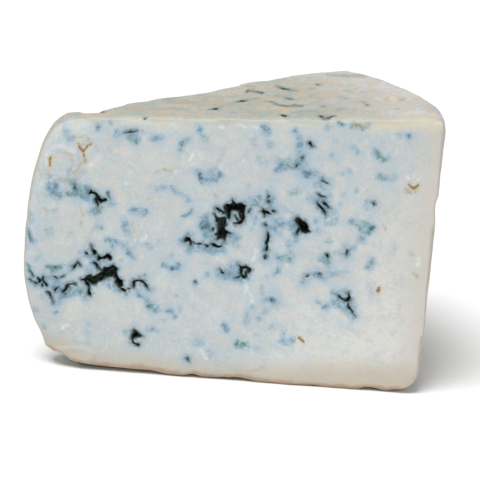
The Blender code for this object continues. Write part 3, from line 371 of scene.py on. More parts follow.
    (0.45, 43.0, 21.9, 0.4), (0.5, 35.3, 19.9, 0.9, 36.5, 18.5, 1.0, 38.0, 17.7, 1.0),
    (0.6, 36.0, 18.7, 0.5), (0.75, 40.6, 17.6, 0.35), (0.55, 41.6, 17.8, 0.7), (0.65, 42.7, 16.3, 0.6),
    (0.6, 44.3, 18.3, 0.6), (0.35, 39.5, 14.7, 0.7), (0.55, 35.6, 12.5, 0.6, 38.4, 12.3, 0.6),
    (0.4, 30.2, 11.2, 0.9), (0.85, 27.2, 22.4, 0.5), (0.55, 33.8, 21.0, 0.6, 32.6, 21.6, 0.5),
    (0.45, 22.3, 38.6, 0.5),
    # low in the middle
    (0.65, 53.8, 28.0, 0.8, 56.2, 28.1, 1.1), (0.55, 57.2, 31.1, 0.7),
    (0.7, 58.0, 27.7, 0.6, 60.0, 27.2, 0.6), (0.5, 55.6, 29.6, 1.0, 57.6, 29.4, 1.0),
    (0.6, 64.8, 25.8, 0.5), (0.4, 65.2, 24.4, 0.6), (0.85, 67.4, 22.9, 0.4, 68.4, 22.5, 0.4),
    (0.5, 65.6, 22.3, 0.6, 67.6, 22.6, 0.7), (0.35, 68.7, 21.2, 0.9), (0.4, 62.7, 20.3, 0.7),
    (0.5, 66.4, 19.6, 0.7), (0.45, 61.6, 18.2, 0.8, 61.4, 16.4, 0.8), (0.6, 64.7, 17.2, 0.5),
    (0.65, 55.4, 15.1, 0.7, 56.4, 13.9, 0.8), (0.4, 68.0, 15.4, 0.7), (0.45, 64.1, 13.0, 0.6),
    (0.55, 71.0, 13.9, 0.6), (0.65, 71.0, 11.9, 0.8, 71.9, 11.2, 0.5), (0.45, 73.4, 12.3, 0.9),
    (0.65, 59.6, 10.2, 1.0, 62.0, 9.7, 0.8), (0.35, 64.2, 9.3, 0.7), (0.35, 49.2, 9.5, 1.3),
    (0.4, 52.2, 7.2, 1.1), (0.55, 79.4, 22.7, 0.5), (0.6, 46.4, 5.0, 0.6),
    # clouds and specks around the openings
    (0.5, 49.2, 42.5, 1.4, 49.8, 40.0, 1.6, 50.6, 38.2, 1.2), (0.85, 50.9, 41.6, 0.25),
    (0.85, 51.9, 37.9, 0.3, 52.4, 37.0, 0.2), (0.8, 49.1, 39.8, 0.25), (0.85, 50.2, 43.9, 0.25),
    (0.45, 61.2, 47.4, 1.0, 63.4, 48.6, 1.2, 66.0, 48.2, 1.2), (0.4, 66.5, 43.4, 1.2, 70.0, 43.0, 1.2),
    (0.35, 62.0, 43.6, 0.9), (0.55, 5.6, 23.6, 1.2, 8.2, 22.4, 1.3, 11.6, 22.2, 1.4, 14.0, 21.4, 1.2),
    (0.5, 12.2, 19.8, 1.0, 16.4, 20.6, 1.0, 18.0, 21.6, 1.0), (0.5, 20.0, 27.0, 0.9, 22.0, 29.4, 1.0),
    (0.5, 20.4, 30.2, 0.9, 20.8, 33.0, 0.6), (0.45, 15.6, 27.6, 1.2), (0.4, 33.6, 22.9, 0.9),
    (0.45, 22.9, 29.2, 0.8, 24.6, 29.4, 0.8), (0.45, 19.5, 19.6, 0.8, 18.4, 19.2, 0.6),
    (0.4, 18.6, 47.4, 1.1, 21.4, 44.4, 0.9), (0.35, 23.6, 44.4, 0.8),
    (0.45, 54.6, 34.4, 0.8, 49.4, 34.4, 0.7), (0.45, 85.6, 26.2, 0.9, 88.6, 22.8, 0.8),
    (0.4, 75.8, 50.4, 1.2, 77.8, 50.0, 1.0), (0.45, 79.2, 49.8, 1.0, 81.4, 46.6, 1.0),
    (0.5, 72.6, 41.6, 0.9, 71.8, 44.4, 0.7),
)

# Mould on the top, each a mark
TOP_MOULD = (
    (0.95, 59.3, 24.1, 0.2, 60.4, 23.9, 0.35, 61.2, 23.6, 0.45, 61.8, 23.3, 0.2),
    (0.35, 58.5, 24.4, 0.5, 62.2, 23.4, 0.6), (1.0, 51.0, 13.4, 0.45),
    (0.6, 49.3, 12.7, 0.4, 51.2, 13.8, 0.6, 53.5, 17.1, 0.3), (0.9, 67.6, 34.1, 0.4),
    (0.85, 69.0, 34.4, 0.2, 68.6, 32.6, 0.3, 69.2, 30.1, 0.35),
    (0.45, 68.0, 34.2, 0.6, 69.4, 32.8, 0.8, 69.8, 30.6, 0.5),
    (1.0, 77.2, 32.8, 0.3, 77.0, 31.0, 0.5, 77.0, 29.6, 0.3),
    (0.55, 77.0, 34.4, 0.6, 77.4, 31.0, 0.9, 78.2, 28.0, 0.7),
    (0.5, 71.3, 25.8, 0.5, 72.4, 23.6, 0.5, 73.6, 21.4, 0.5), (0.85, 72.4, 22.6, 0.2, 73.2, 20.9, 0.25),
    (0.85, 66.3, 21.2, 0.2), (0.95, 67.3, 19.6, 0.3), (0.3, 65.8, 21.6, 0.4, 68.2, 18.8, 0.5),
    (0.8, 67.7, 17.3, 0.25, 68.9, 14.5, 0.3, 70.4, 13.7, 0.3, 72.2, 14.8, 0.3, 73.3, 13.6, 0.35,
     74.3, 14.0, 0.2),
    (0.4, 67.7, 17.3, 0.5, 70.0, 14.2, 0.8, 73.6, 14.0, 0.7), (0.9, 87.4, 31.8, 0.35),
    (0.4, 87.6, 31.6, 0.8), (0.4, 83.2, 28.9, 0.7), (1.0, 67.6, 3.9, 0.3, 68.5, 2.6, 0.4),
    (0.4, 67.0, 4.4, 0.5, 69.4, 2.2, 0.6),
    (1.0, 77.6, 2.6, 0.4, 78.4, 1.6, 0.5, 79.3, 1.7, 0.5, 80.4, 2.6, 0.3),
    (0.5, 76.6, 4.0, 0.5, 78.6, 2.6, 0.8, 81.0, 3.0, 0.5), (0.35, 79.8, 23.0, 1.0), (0.7, 79.2, 12.5, 0.4),
    (0.4, 82.4, 9.6, 0.7, 84.0, 9.4, 0.7), (0.35, 63.4, 26.4, 0.6, 65.6, 24.7, 0.6),
    (0.35, 70.5, 6.7, 0.6, 75.1, 8.1, 0.6), (0.3, 59.5, 8.0, 0.6, 61.0, 6.4, 0.6),
    (0.3, 76.8, 8.7, 0.5, 77.0, 4.4, 0.5), (0.5, 90.2, 24.9, 0.4, 91.6, 25.3, 0.5, 91.2, 23.4, 0.4),
    (0.5, 94.1, 25.7, 0.4), (0.45, 94.3, 23.4, 0.4), (0.5, 90.1, 15.2, 0.5, 90.6, 12.6, 0.5),
    (0.75, 90.6, 12.4, 0.3), (0.9, 25.0, 36.0, 0.6), (0.35, 45.0, 37.5, 0.8, 49.0, 38.0, 0.7),
    (0.8, 33.0, 1.0, 0.5), (0.35, 97.0, 37.5, 1.0, 104.0, 34.0, 1.0),
    (0.3, 38.0, 18.0, 0.9, 44.0, 14.0, 0.8), (0.55, 97.5, 8.0, 0.3),
    (0.45, 56.4, 30.2, 0.4, 57.8, 31.4, 0.3), (0.5, 36.2, 24.8, 0.3),
    (0.45, 86.0, 19.4, 0.4, 87.2, 18.0, 0.3), (0.4, 70.6, 37.6, 0.5),
)

# The black cores of some of those marks
TOP_CORES = (
    (1.3, 59.5, 24.1, 0.1, 60.6, 23.8, 0.35, 61.4, 23.5, 0.3), (1.3, 50.9, 13.4, 0.3, 51.4, 13.5, 0.2),
    (1.2, 67.6, 34.1, 0.3), (1.3, 76.8, 32.3, 0.2, 77.0, 31.2, 0.3), (1.0, 76.9, 29.0, 0.2),
    (1.1, 66.3, 21.2, 0.15), (1.3, 67.2, 19.8, 0.2, 67.5, 19.4, 0.2), (1.2, 87.4, 31.8, 0.25),
    (1.3, 67.5, 4.0, 0.2, 68.5, 2.7, 0.3),
    (1.3, 77.2, 3.1, 0.25, 78.2, 1.7, 0.35, 79.4, 1.6, 0.35, 80.5, 2.6, 0.2), (1.1, 79.2, 12.5, 0.2),
    (1.0, 69.1, 32.0, 0.15, 69.2, 30.4, 0.2), (1.0, 90.6, 12.4, 0.15), (1.2, 24.8, 36.6, 0.35),
    (1.0, 33.0, 1.2, 0.2),
)

# Where the mould is olive
FRONT_OLIVE = (
    (1.0, 86.2, 69.8, 0.6, 88.2, 69.4, 0.7),
)
TOP_OLIVE = (
    (1.0, 90.2, 24.9, 1.2, 91.6, 25.3, 1.2, 94.3, 24.4, 1.2), (0.7, 90.3, 14.0, 1.0),
)

# Brown stains and white smears on the top
TOP_STAINS = (
    (0.6, 90.6, 30.2, 0.5), (0.75, 97.0, 16.0, 0.5), (0.95, 100.6, 15.1, 0.6),
    (0.3, 44.0, 30.0, 0.8, 48.0, 27.0, 0.8), (0.3, 29.0, 22.0, 0.8, 34.0, 17.0, 0.6),
    (0.25, 104.6, 1.6, 1.2, 106.0, 8.0, 0.8),
)
TOP_BLOOM = (
    (0.85, 94.9, 17.4, 0.4, 95.5, 15.3, 0.5), (0.75, 98.1, 16.3, 0.3, 99.1, 14.8, 0.4),
    (1.0, 100.3, 4.4, 0.4, 101.9, 3.4, 0.6, 103.5, 3.3, 0.4), (1.0, 104.4, 2.2, 0.5, 106.2, 2.3, 0.4),
    (0.6, 102.8, 0.9, 0.3, 103.8, 0.9, 0.3), (0.6, 98.3, 4.4, 0.4, 99.0, 2.8, 0.4),
    (0.35, 103.0, 26.0, 2.5, 103.8, 22.4, 2.5, 104.5, 19.0, 2.0),
)

# The back and the rim have mould of the same kinds, laid out by chance between two corners; on the back most
# of it lies around centres
BACK_MOULD_SEED = 3
BACK_MOULDS = 210
BACK_CORNERS = ((6, 5), (104, 68))
BACK_CENTRES = BACK_CLUSTERS + ((40, 56), (48, 14), (90, 24), (88, 56), (14, 26))
CLUSTER_SPREAD = (8, 5)
RIM_MOULD_SEED = 8
RIM_MOULDS = 70
RIM_CORNERS = ((0, 3), (80, 70))
RIM_STRENGTH = 0.8

# How soft the edges of the mould and of the stains are, in mm
MOULD_SOFTNESS = 0.65
TOP_SOFTNESS = 0.7
STAIN_SOFTNESS = 0.8
OLIVE_SOFTNESS = 1.0
RIM_SOFTNESS = 1.4

# How far those edges stray and in lumps of what size, in mm, and how strong and how wide the haze is
MOULD_RAGGED = ((0.45, 2.4), (0.35, 1.0))
CORE_RAGGED = (0.25, 0.8)
HAZE_RAGGED = (1.4, 5.0)
HAZE_STRENGTH = 0.6
HAZE_REACH = 3.4

# The top's marks and their cores are drawn in places that are squashed this much across the wedge
TOP_SQUASH = 0.45
CORE_SQUASH = 0.28

# The painted highlight along the top edge of the front cut face, where its rounded edge catches the light: a
# distance along the face, and its strength
EDGE_HIGHLIGHT = (
    (22, 0.0), (29, 0.9), (40, 0.8), (46, 0.1), (64, 0.2), (70, 0.6), (75, 0.5), (80, 0.1), (85, 0.3),
    (91, 0.9), (106, 0.9),
)

# The blank: the steps of the turned drum, the cutter's reach in drum radii, and the distances within which
# points are welded, in metres
DRUM_STEPS = 192
DRUM_WELD = 0.00005
CUTTER_REACH = 1.4
CUTTER_WELD = 0.000001

# The surface: the size of its cells in metres, how often they are smoothed, how far round the openings they
# are finest, and up to what height its lowest points are pressed flat, in mm
VOXEL = 0.0010
RELAXING = 4
FINE_MARGIN = 0.7
PRESSED_FLAT = 0.3

# What the material is told, in mm: how far from the top and bottom, from the rim and from the openings. What
# no chain has reached yet is far outside.
EDGE_SHOWN = 20
RIM_SHOWN = 40
REACH_SHOWN = 3
FAR_OUTSIDE = -1000.0

# The mottling of the colours: its lumps' sizes in mm, from broad to fine, and how the rind's are drawn out
NOISE_SIZES = (9, 3.2, 1.1, 0.45)
ALONG_STREAKS = (1, TOP_SQUASH, 1)

# Colours, as the eye sees them (sRGB, 0 to 255)
COOL_PASTE = (190, 198, 200)
PASTE = (197, 202, 199)
CREAMY_PASTE = (211, 209, 203)
SHADED_PASTE = (176, 188, 189)
LIGHT_PASTE = (218, 219, 214)
HAZE = (172, 191, 204)
BLUE_TINT = (180, 199, 212)
PINK_TINT = (212, 200, 191)
GREEN_TINT = (188, 206, 196)
MAUVE_TINT = (206, 196, 206)
PALE_MOULD = (146, 174, 191)
MOULD = (86, 119, 132)
DARK_MOULD = (42, 62, 64)
PALE_TEAL_MOULD = (142, 173, 178)
TEAL_MOULD = (70, 104, 103)
OLIVE_MOULD = (92, 98, 82)
PALE_OLIVE_MOULD = (166, 172, 148)
DEEP_OLIVE_MOULD = (92, 98, 74)
PALE_RIND_MOULD = (144, 156, 150)
RIND_MOULD = (88, 102, 94)
DARK_RIND_MOULD = (44, 48, 42)
# Inside the openings: partly dark mould, partly painted shade
OPENING_INSIDE = (34, 32, 32)
OPENING_SIDES = (86, 102, 88)
OPENING_LIP = (84, 108, 108)
TEAR_FILL = (206, 190, 156)
TEAR = (116, 88, 58)
CREASE = (182, 170, 144)
# The white of the painted glints
GLINT_WHITE = (228, 232, 230)
EDGE_LINE = (196, 176, 150)
EDGE_TAN = (188, 190, 176)
# The painted highlight along the front's top edge, warmer near the rim
PAINTED_EDGE_HIGHLIGHT = (211, 213, 202)
WARM_PAINTED_EDGE_HIGHLIGHT = (218, 209, 189)
RIM_EDGE_CREAM = (204, 198, 189)
BOTTOM_EDGE_PINK = (191, 180, 161)
BOTTOM_LINE = (178, 142, 108)
RIND = (171, 170, 156)
PALE_RIND = (192, 184, 168)
RIND_STREAK = (148, 161, 160)
RIND_TAN = (207, 177, 138)
RIND_GREEN = (162, 177, 170)
RIND_LAVENDER = (202, 202, 214)
RIND_SALMON = (214, 192, 164)
STAIN = (176, 134, 84)
FRESH_RIND = (199, 194, 187)
BLOOM = (216, 216, 220)
FLOOR_WHITE = (246, 246, 246)
FLOOR_BRIGHT = (250, 250, 250)

# The skin of the cheese, in metres, and the floor
CHEESE_ROUGHNESS = 0.55
GLOW_DEPTH = 0.0010
GRAIN_HEIGHT = 0.0003
FLOOR_ROUGHNESS = 0.9
FLOOR_SIDE = 4
FLOOR_BACK = 12

# Light and camera
WORLD_STRENGTH = 0.42
KEY_PLACE = Vector((-0.4, -0.75, 1.9))
KEY_SOFTNESS = math.radians(30)
KEY_STRENGTH = 2.5
CAMERA_TARGET = Vector((-0.0001, 0.0013, 0.0284))
CAMERA_DISTANCE = 0.6
CAMERA_AZIMUTH = math.radians(4.76)
CAMERA_HEIGHT = math.radians(14.03)
CAMERA_ROLL = math.radians(2.84)
CAMERA_LENS = 165
CAMERA_SENSOR = 36


def ramp(low, high, value):
    """Rises smoothly from 0 at low to 1 at high."""
    part = np.clip((value - low) / (high - low), 0, 1)
    return part * part * (3 - 2 * part)


def ripple(points, size, seed):
    """Smooth noise between about -1 and 1 at each point, with lumps of about the given size."""
    shift = Vector((17.3, 5.1, 9.7)) * seed
    return np.array([noise.noise(Vector(point) / size + shift) for point in points])


def read_off(table, value, blur):
    """A value read from a short table, with its corners rounded over the blur."""
    places, amounts = zip(*table)
    steps = np.linspace(-blur, blur, 5)
    return sum(np.interp(value + step, places, amounts) for step in steps) / len(steps)


def arc(across, up, radius, start, end, steps):
    """Points of an arc round the given centre; the angles are in degrees."""
    points = []
    for step in range(steps + 1):
        angle = math.radians(start + (end - start) * step / steps)
        points.append((across + radius * math.cos(angle), up + radius * math.sin(angle)))
    return points


def add_object(name, data):
    made = bpy.data.objects.new(name, data)
    bpy.context.scene.collection.objects.link(made)
    return made


def evaluated_mesh(item):
    """A new mesh with the item's modifiers applied, in world space."""
    bpy.context.view_layer.update()
    mesh = bpy.data.meshes.new_from_object(item.evaluated_get(bpy.context.evaluated_depsgraph_get()))
    mesh.transform(item.matrix_world)
    return mesh


def make_drum():
    """The whole drum: its half outline, from the middle of its top to the middle of its bottom, turned."""
    over = arc(DRUM_RADIUS + RIM_LEAN - RIM_TOP_ROUND, RIM_HEIGHT - RIM_TOP_ROUND, RIM_TOP_ROUND, 90, 0, 6)
    under = arc(DRUM_RADIUS - RIM_BOTTOM_ROUND, RIM_BOTTOM_ROUND, RIM_BOTTOM_ROUND, 0, -90, 8)
    outline = [(0.0, TIP_HEIGHT)] + over + under + [(0.0, 0.0)]
    mesh = bpy.data.meshes.new("drum")
    mesh.from_pydata([(r, 0, z) for r, z in outline], [(i, i + 1) for i in range(len(outline) - 1)], [])
    drum = add_object("drum", mesh)
    drum.location = AXIS
    turn = drum.modifiers.new("turn", "SCREW")
    turn.steps = turn.render_steps = DRUM_STEPS
    turn.use_merge_vertices = True
    turn.merge_threshold = DRUM_WELD
    return drum


def sector_outline():
    """The wedge seen from above, with its round nose, measured from the axis."""
    half = WEDGE_ANGLE / 2
    to_nose = TIP_ROUND / math.sin(half)
    start, end = -90, math.degrees(WEDGE_ANGLE) - 270
    nose = arc(to_nose * math.cos(half), TIP_ROUND, TIP_ROUND, start, end, 10)
    reach = DRUM_RADIUS * CUTTER_REACH
    return nose + [(reach * math.cos(WEDGE_ANGLE), reach * math.sin(WEDGE_ANGLE)), (reach, 0.0)]


def make_sector():
    """The upright prism between the two cuts, as a cutter."""
    curve = bpy.data.curves.new("sector", "CURVE")
    curve.dimensions = "2D"
    curve.fill_mode = "BOTH"
    curve.extrude = RIM_HEIGHT
    outline = sector_outline()
    spline = curve.splines.new("POLY")
    spline.points.add(len(outline) - 1)
    for point, (x, y) in zip(spline.points, outline):
        point.co = (x, y, 0, 1)
    spline.use_cyclic_u = True
    flat = add_object("sector_outline", curve)
    flat.location = AXIS + Vector((0, 0, RIM_HEIGHT / 2))
    mesh = evaluated_mesh(flat)
    bpy.data.objects.remove(flat)
    welded = bmesh.new()
    welded.from_mesh(mesh)
    bmesh.ops.remove_doubles(welded, verts=welded.verts, dist=CUTTER_WELD)
    bmesh.ops.recalc_face_normals(welded, faces=welded.faces)
    welded.to_mesh(mesh)
    welded.free()
    return add_object("sector", mesh)


def make_blank():
    """The wedge with smooth faces, as an even fine mesh."""
    drum, sector = make_drum(), make_sector()
    cut = drum.modifiers.new("cut", "BOOLEAN")
    cut.operation = "INTERSECT"
    cut.solver = "EXACT"
    cut.object = sector
    soften = drum.modifiers.new("soften", "BEVEL")
    soften.width = EDGE_ROUND
    soften.segments = 2
    soften.limit_method = "ANGLE"
    soften.angle_limit = SHARP_ANGLE
    even = drum.modifiers.new("even", "REMESH")
    even.mode = "VOXEL"
    even.voxel_size = VOXEL
    relax = drum.modifiers.new("relax", "SMOOTH")
    relax.factor = 0.5
    relax.iterations = RELAXING
    mesh = evaluated_mesh(drum)
    bpy.data.objects.remove(drum)
    bpy.data.objects.remove(sector)
    return mesh


def read_mesh(mesh):
    """The mesh's points in mm and its smooth normals."""
    points = np.zeros(len(mesh.vertices) * 3)
    mesh.vertices.foreach_get("co", points)
    normals = np.zeros(len(mesh.vertices) * 3)
    mesh.vertex_normals.foreach_get("vector", normals)
    return points.reshape(-1, 3) / MM, normals.reshape(-1, 3)


def write_mesh(mesh, points):
    """Moves the mesh's points to places in mm."""
    mesh.vertices.foreach_set("co", (points * MM).ravel())
    mesh.update()


def from_axis(points):
    """Each point's place in plan, in mm from the axis."""
    return points[:, 0] - AXIS.x / MM, points[:, 1] - AXIS.y / MM


def in_plan(points):
    """Each point's distance from the wedge's tip, and its angle from the front cut in degrees."""
    x, y = from_axis(points)
    return np.hypot(x, y) - TIP_WORN, np.degrees(np.arctan2(y, x))


def along_cut(points, normals, angle, side):
    """Each point's place along a cut face, and how far it belongs to that face, from 0 to 1."""
    x, y = from_axis(points)
    across = x * math.cos(angle) + y * math.sin(angle) - TIP_WORN
    outward = side * (normals[:, 1] * math.cos(angle) - normals[:, 0] * math.sin(angle))
    return across, ramp(0.35, 0.75, outward)


def on_cuts(points, normals):
    """The same for the front and then for the back cut face."""
    return along_cut(points, normals, 0, -1) + along_cut(points, normals, WEDGE_ANGLE, 1)


def on_top(normals):
    """How far each point belongs to the top, from 0 to 1."""
    return ramp(0.3, 0.7, normals[:, 2])


def wear(points):
    """The worn tip, the worn front bottom edge, the uneven top edges of back and rim and the chipped rim."""
    worn = points.copy()
    distance, angle = in_plan(points)
    height = points[:, 2]
    shift = read_off(TIP_OUTLINE, height, 1.5) * (1 - ramp(*TIP_REACH, distance))
    worn[:, 0] -= shift * math.cos(WEDGE_ANGLE / 2)
    worn[:, 1] -= shift * math.sin(WEDGE_ANGLE / 2)
    from_front = points[:, 1] - AXIS.y / MM
    near_edge = np.maximum(1 - ramp(*FOOT_ROUND_TIP, distance), 1 - ramp(*FOOT_DEPTH, from_front))
    foot = near_edge * (1 - ramp(*FOOT_HEIGHT, height))
    high = ramp(*TOP_EDGES_HEIGHT, height)
    back = ramp(0.3, 0.8, angle / math.degrees(WEDGE_ANGLE)) * high
    rim = ramp(*RIM_EDGE_PLACE, distance) * high
    worn[:, 2] += read_off(FRONT_FOOT, distance, 0.8) * foot
    worn[:, 2] += read_off(BACK_EDGE, distance, 1.0) * back + read_off(RIM_EDGE, angle, 1.0) * rim
    below = RIM_CHIP_HEIGHT - height
    chip = RIM_CHIP_DEPTH * ramp(-0.8, 0.8, below) * (1 - ramp(0.8, RIM_CHIP_LENGTH, below))
    chip *= ramp(*RIM_CHIP_PLACE, distance) * (1 - ramp(*RIM_CHIP_DEGREES, angle))
    worn[:, 0] -= chip * np.cos(np.radians(angle))
    worn[:, 1] -= chip * np.sin(np.radians(angle))
    return worn


def triples(chain):
    """The points of a chain, each with its half width."""
    return list(zip(chain[0::3], chain[1::3], chain[2::3]))


def chain_reach(across, height, chain):
    """How far inside a chain of tapered strokes each place lies, in mm; negative outside it."""
    inside = np.full(len(across), FAR_OUTSIDE)
    ends = triples(chain)
    for (x0, z0, r0), (x1, z1, r1) in zip(ends, ends[1:] or ends):
        dx, dz = x1 - x0, z1 - z0
        length = max(dx * dx + dz * dz, 1e-9)
        part = np.clip(((across - x0) * dx + (height - z0) * dz) / length, 0, 1)
        away = np.hypot(across - x0 - part * dx, height - z0 - part * dz)
        inside = np.maximum(inside, r0 + (r1 - r0) * part - away)
    return inside


def furthest_reach(across, height, chains):
    """How far inside any of the chains each place lies, in mm."""
    inside = np.full(len(across), FAR_OUTSIDE)
    for chain in chains:
        inside = np.maximum(inside, chain_reach(across, height, chain))
    return inside


def upright(across, height):
    """Places on a cut face as points of space."""
    return np.column_stack((across, height, np.zeros(len(across))))


def ragged(across, height, amount=RAGGEDNESS, size=RAGGED_SIZE):
    """The places moved about a little, so that what is drawn with them gets ragged edges."""
    flat = upright(across, height)
    return across + amount * ripple(flat, size, 2), height + amount * ripple(flat, size, 3)


def opening_reach(across, height, chains, islands):
    """How far inside a cut face's openings each place lies, in mm, with ragged edges."""
    across, height = ragged(across, height)
    return np.minimum(furthest_reach(across, height, chains), -furthest_reach(across, height, islands))


def opening_depth(inside):
    """The depth of an opening where a place lies so far inside it; its lip sags a little."""
    deep = OPENING_DEPTH * (1 - np.exp(-np.maximum(inside, 0) / OPENING_SLOPE))
    return deep + SAG * np.exp(np.minimum(inside, 0) / SAG_REACH)


def wander(generator, start, steps, widest):
    """A chain that wanders off from a place and swells in its middle."""
    chain = []
    heading = generator.uniform(-0.7, 0.7)
    x, z = start
    for step in range(steps + 1):
        width = widest * math.sin(math.pi * (step + 0.4) / (steps + 0.8)) * generator.uniform(0.6, 1.0)
        chain += [x, z, max(width, 0.15)]
        heading += generator.uniform(-0.9, 0.9)
        x += generator.uniform(1.2, 2.4) * math.cos(heading)
        z += generator.uniform(1.2, 2.4) * math.sin(heading)
    return chain


def back_openings():
    """The back cut face's openings: a few clusters of long ones, and small ones between them."""
    generator = np.random.default_rng(BACK_SEED)
    chains = []
    for x, z in BACK_CLUSTERS:
        for right, up, steps, widest in CLUSTER_BRANCHES:
            chains.append(wander(generator, (x + right, z + up), steps, widest))
    for _ in range(BACK_SINGLES):
        start = (generator.uniform(16, 98), generator.uniform(12, 60))
        chains.append(wander(generator, start, int(generator.integers(1, 4)), generator.uniform(0.3, 0.8)))
    return chains


def pit_depth(points, normals):
    """The depth of the pits in the top and the rim at each point."""
    distance, angle = in_plan(points)
    radians = np.radians(angle)
    depth = np.zeros(len(points))
    top = on_top(normals)
    for place, turn, radius in TOP_PITS:
        away = np.hypot(distance - place, place * (radians - math.radians(turn))) / radius
        depth = np.maximum(depth, TOP_PIT_DEPTH * (1 - ramp(0.2, 1.1, away)) * top)
    generator = np.random.default_rng(RIM_SEED)
    on_rim = ramp(104, 105.5, distance)
    for _ in range(RIM_PITS):
        turn, tall, radius = (generator.uniform(*span) for span in RIM_PIT_SPANS)
        away = np.hypot(distance * (radians - math.radians(turn)), points[:, 2] - tall) / radius
        depth = np.maximum(depth, RIM_PIT_DEPTH * (1 - ramp(0.2, 1.1, away)) * on_rim)
    return depth


def flake_rise(across, height):
    """How far the torn flakes stand out of the front cut face; a negative one is sunk."""
    bent = 0.25 * ripple(upright(across, height), 3.0, 6)
    rise = np.zeros(len(across))
    for place, tall, half_width, half_height, amount in FLAKES:
        away = np.hypot((across - place) / half_width, (height - tall) / half_height) + bent
        rise += amount * (1 - ramp(0.75, 1.0, away)) * (0.6 + 0.4 * away)
    return rise


def carve(points, normals, front_inside, back_inside):
    """The openings of both cut faces, the rind's pits and the unevenness of the whole surface.

    The lowest points all end at the same height, so that the wedge stands firmly.
    """
    front_across, front, _, back = on_cuts(points, normals)
    rind = 1 - np.maximum(front, back)
    uneven = SWELL * ripple(points, SWELL_SIZE, 4)
    uneven += (ROUGH_PASTE + ROUGHER_RIND * rind) * ripple(points, ROUGH_SIZE, 5)
    deep = np.maximum(opening_depth(front_inside) * front, opening_depth(back_inside) * back)
    inward = deep + pit_depth(points, normals) - uneven - flake_rise(front_across, points[:, 2]) * front
    carved = points - normals * inward[:, None]
    resting = (normals[:, 2] < -0.9) & (points[:, 2] < PRESSED_FLAT)
    carved[resting] = points[resting]
    carved[carved[:, 2] < PRESSED_FLAT, 2] = 0
    return carved


def halve_cells(mesh, near):
    """Halves the mesh's cells among the points that are near."""
    fine = bmesh.new()
    fine.from_mesh(mesh)
    fine.verts.ensure_lookup_table()
    edges = [edge for edge in fine.edges if near[edge.verts[0].index] and near[edge.verts[1].index]]
    bmesh.ops.subdivide_edges(fine, edges=edges, cuts=1, use_grid_fill=True)
    fine.to_mesh(mesh)
    fine.free()
    mesh.update()


def face_insides(points, normals):
    """How far inside each cut face's openings each point lies, and how far it belongs to that face."""
    front_across, front, back_across, back = on_cuts(points, normals)
    front_inside = opening_reach(front_across, points[:, 2], FRONT_OPENINGS, ISLANDS)
    back_inside = opening_reach(back_across, points[:, 2], back_openings(), ())
    return front_inside, back_inside, front, back


def refine(mesh):
    """Finer cells on the front cut face and the top, and finer still in and around the openings."""
    points, normals = read_mesh(mesh)
    _, back_inside, front, back = face_insides(points, normals)
    halve_cells(mesh, (front > 0) | (normals[:, 2] > 0.5) | ((back > 0) & (back_inside > -2 * FINE_MARGIN)))
    points, normals = read_mesh(mesh)
    front_inside, back_inside, front, back = face_insides(points, normals)
    front_near = (front > 0) & (front_inside > -FINE_MARGIN)
    back_near = (back > 0) & (back_inside > -FINE_MARGIN)
    halve_cells(mesh, front_near | back_near)


def mould_amount(across, height, marks, soft):
    """The soft union of the marks at each place, from 0 to 1; their edges are soft by that many mm."""
    for amount, size in MOULD_RAGGED:
        across, height = ragged(across, height, amount, size)
    clear = np.ones(len(across))
    for strength, *chain in marks:
        clear *= 1 - strength * ramp(-1.3 * soft, 0.9 * soft, chain_reach(across, height, chain))
    return 1 - clear


def haze_amount(across, height, marks):
    """The faint blue cloud around the marks at each place, from 0 to 1."""
    across, height = ragged(across, height, *HAZE_RAGGED)
    clear = np.ones(len(across))
    for strength, *chain in marks:
        clear *= 1 - HAZE_STRENGTH * strength * ramp(-HAZE_REACH, 0.8, chain_reach(across, height, chain))
    return 1 - clear


def streak_amount(across, height, streaks):
    """The strongest of the crisp streaks at each place."""
    amount = np.zeros(len(across))
    for strength, *chain in streaks:
        amount = np.maximum(amount, strength * ramp(-0.35, 0.15, chain_reach(across, height, chain)))
    return amount


def scattered(seed, count, low, high, centres=()):
    """Mould marks laid out by chance, in short strokes; two of three lie near one of the centres."""
    generator = np.random.default_rng(seed)
    marks = []
    for number in range(count):
        start = generator.uniform(low, high)
        if centres and number % 3:
            centre = centres[generator.integers(len(centres))]
            start = np.clip(generator.normal(centre, CLUSTER_SPREAD), low, high)
        steps = int(generator.choice((0, 0, 1, 2, 4)))
        widest = 0.4 + 1.5 * generator.uniform() ** 2
        marks.append((generator.uniform(0.25, 0.95), *wander(generator, start, steps, widest)))
    return marks


def on_plan(marks, squash):
    """Marks given by distance and degrees, turned into squashed places in plan, in mm from the axis."""
    turned = []
    for strength, *chain in marks:
        places = []
        for distance, degrees, radius in triples(chain):
            reach, turn = distance + TIP_WORN, math.radians(degrees)
            places += [reach * math.cos(turn), squash * reach * math.sin(turn), radius]
        turned.append((strength, *places))
    return turned


class Surface:
    """The points of the surface before it is carved, and where each lies on the wedge."""

    def __init__(self, points, normals, unworn):
        self.points = points
        self.height = points[:, 2]
        self.front_across, self.front, self.back_across, self.back = on_cuts(points, normals)
        self.cut = np.maximum(self.front, self.back)
        self.top = on_top(normals)
        self.plan_x, self.plan_y = from_axis(points)
        self.distance, self.angle = in_plan(unworn)
        self.above_bottom = unworn[:, 2]
        rise = (RIM_HEIGHT - TIP_HEIGHT) * (self.distance + TIP_WORN) * MM / DRUM_RADIUS
        self.below_top = (TIP_HEIGHT + rise) / MM - self.above_bottom
        lean = RIM_LEAN * self.above_bottom * MM / RIM_HEIGHT
        self.inside_rim = (DRUM_RADIUS + lean) / MM - TIP_WORN - self.distance

    def top_amount(self, marks, soft):
        """The amount of such marks on the top at each point."""
        squashed_y = TOP_SQUASH * self.plan_y
        return mould_amount(self.plan_x, squashed_y, on_plan(marks, TOP_SQUASH), soft) * self.top


def edge_values(surface):
    """Which points lie on the cut faces, and how near they are to the rind."""
    return {
        "on_cut": surface.cut,
        "below_top": np.clip(surface.below_top, 0, EDGE_SHOWN),
        "inside_rim": np.clip(surface.inside_rim, 0, RIM_SHOWN),
        "above_bottom": np.clip(surface.above_bottom, 0, EDGE_SHOWN),
    }


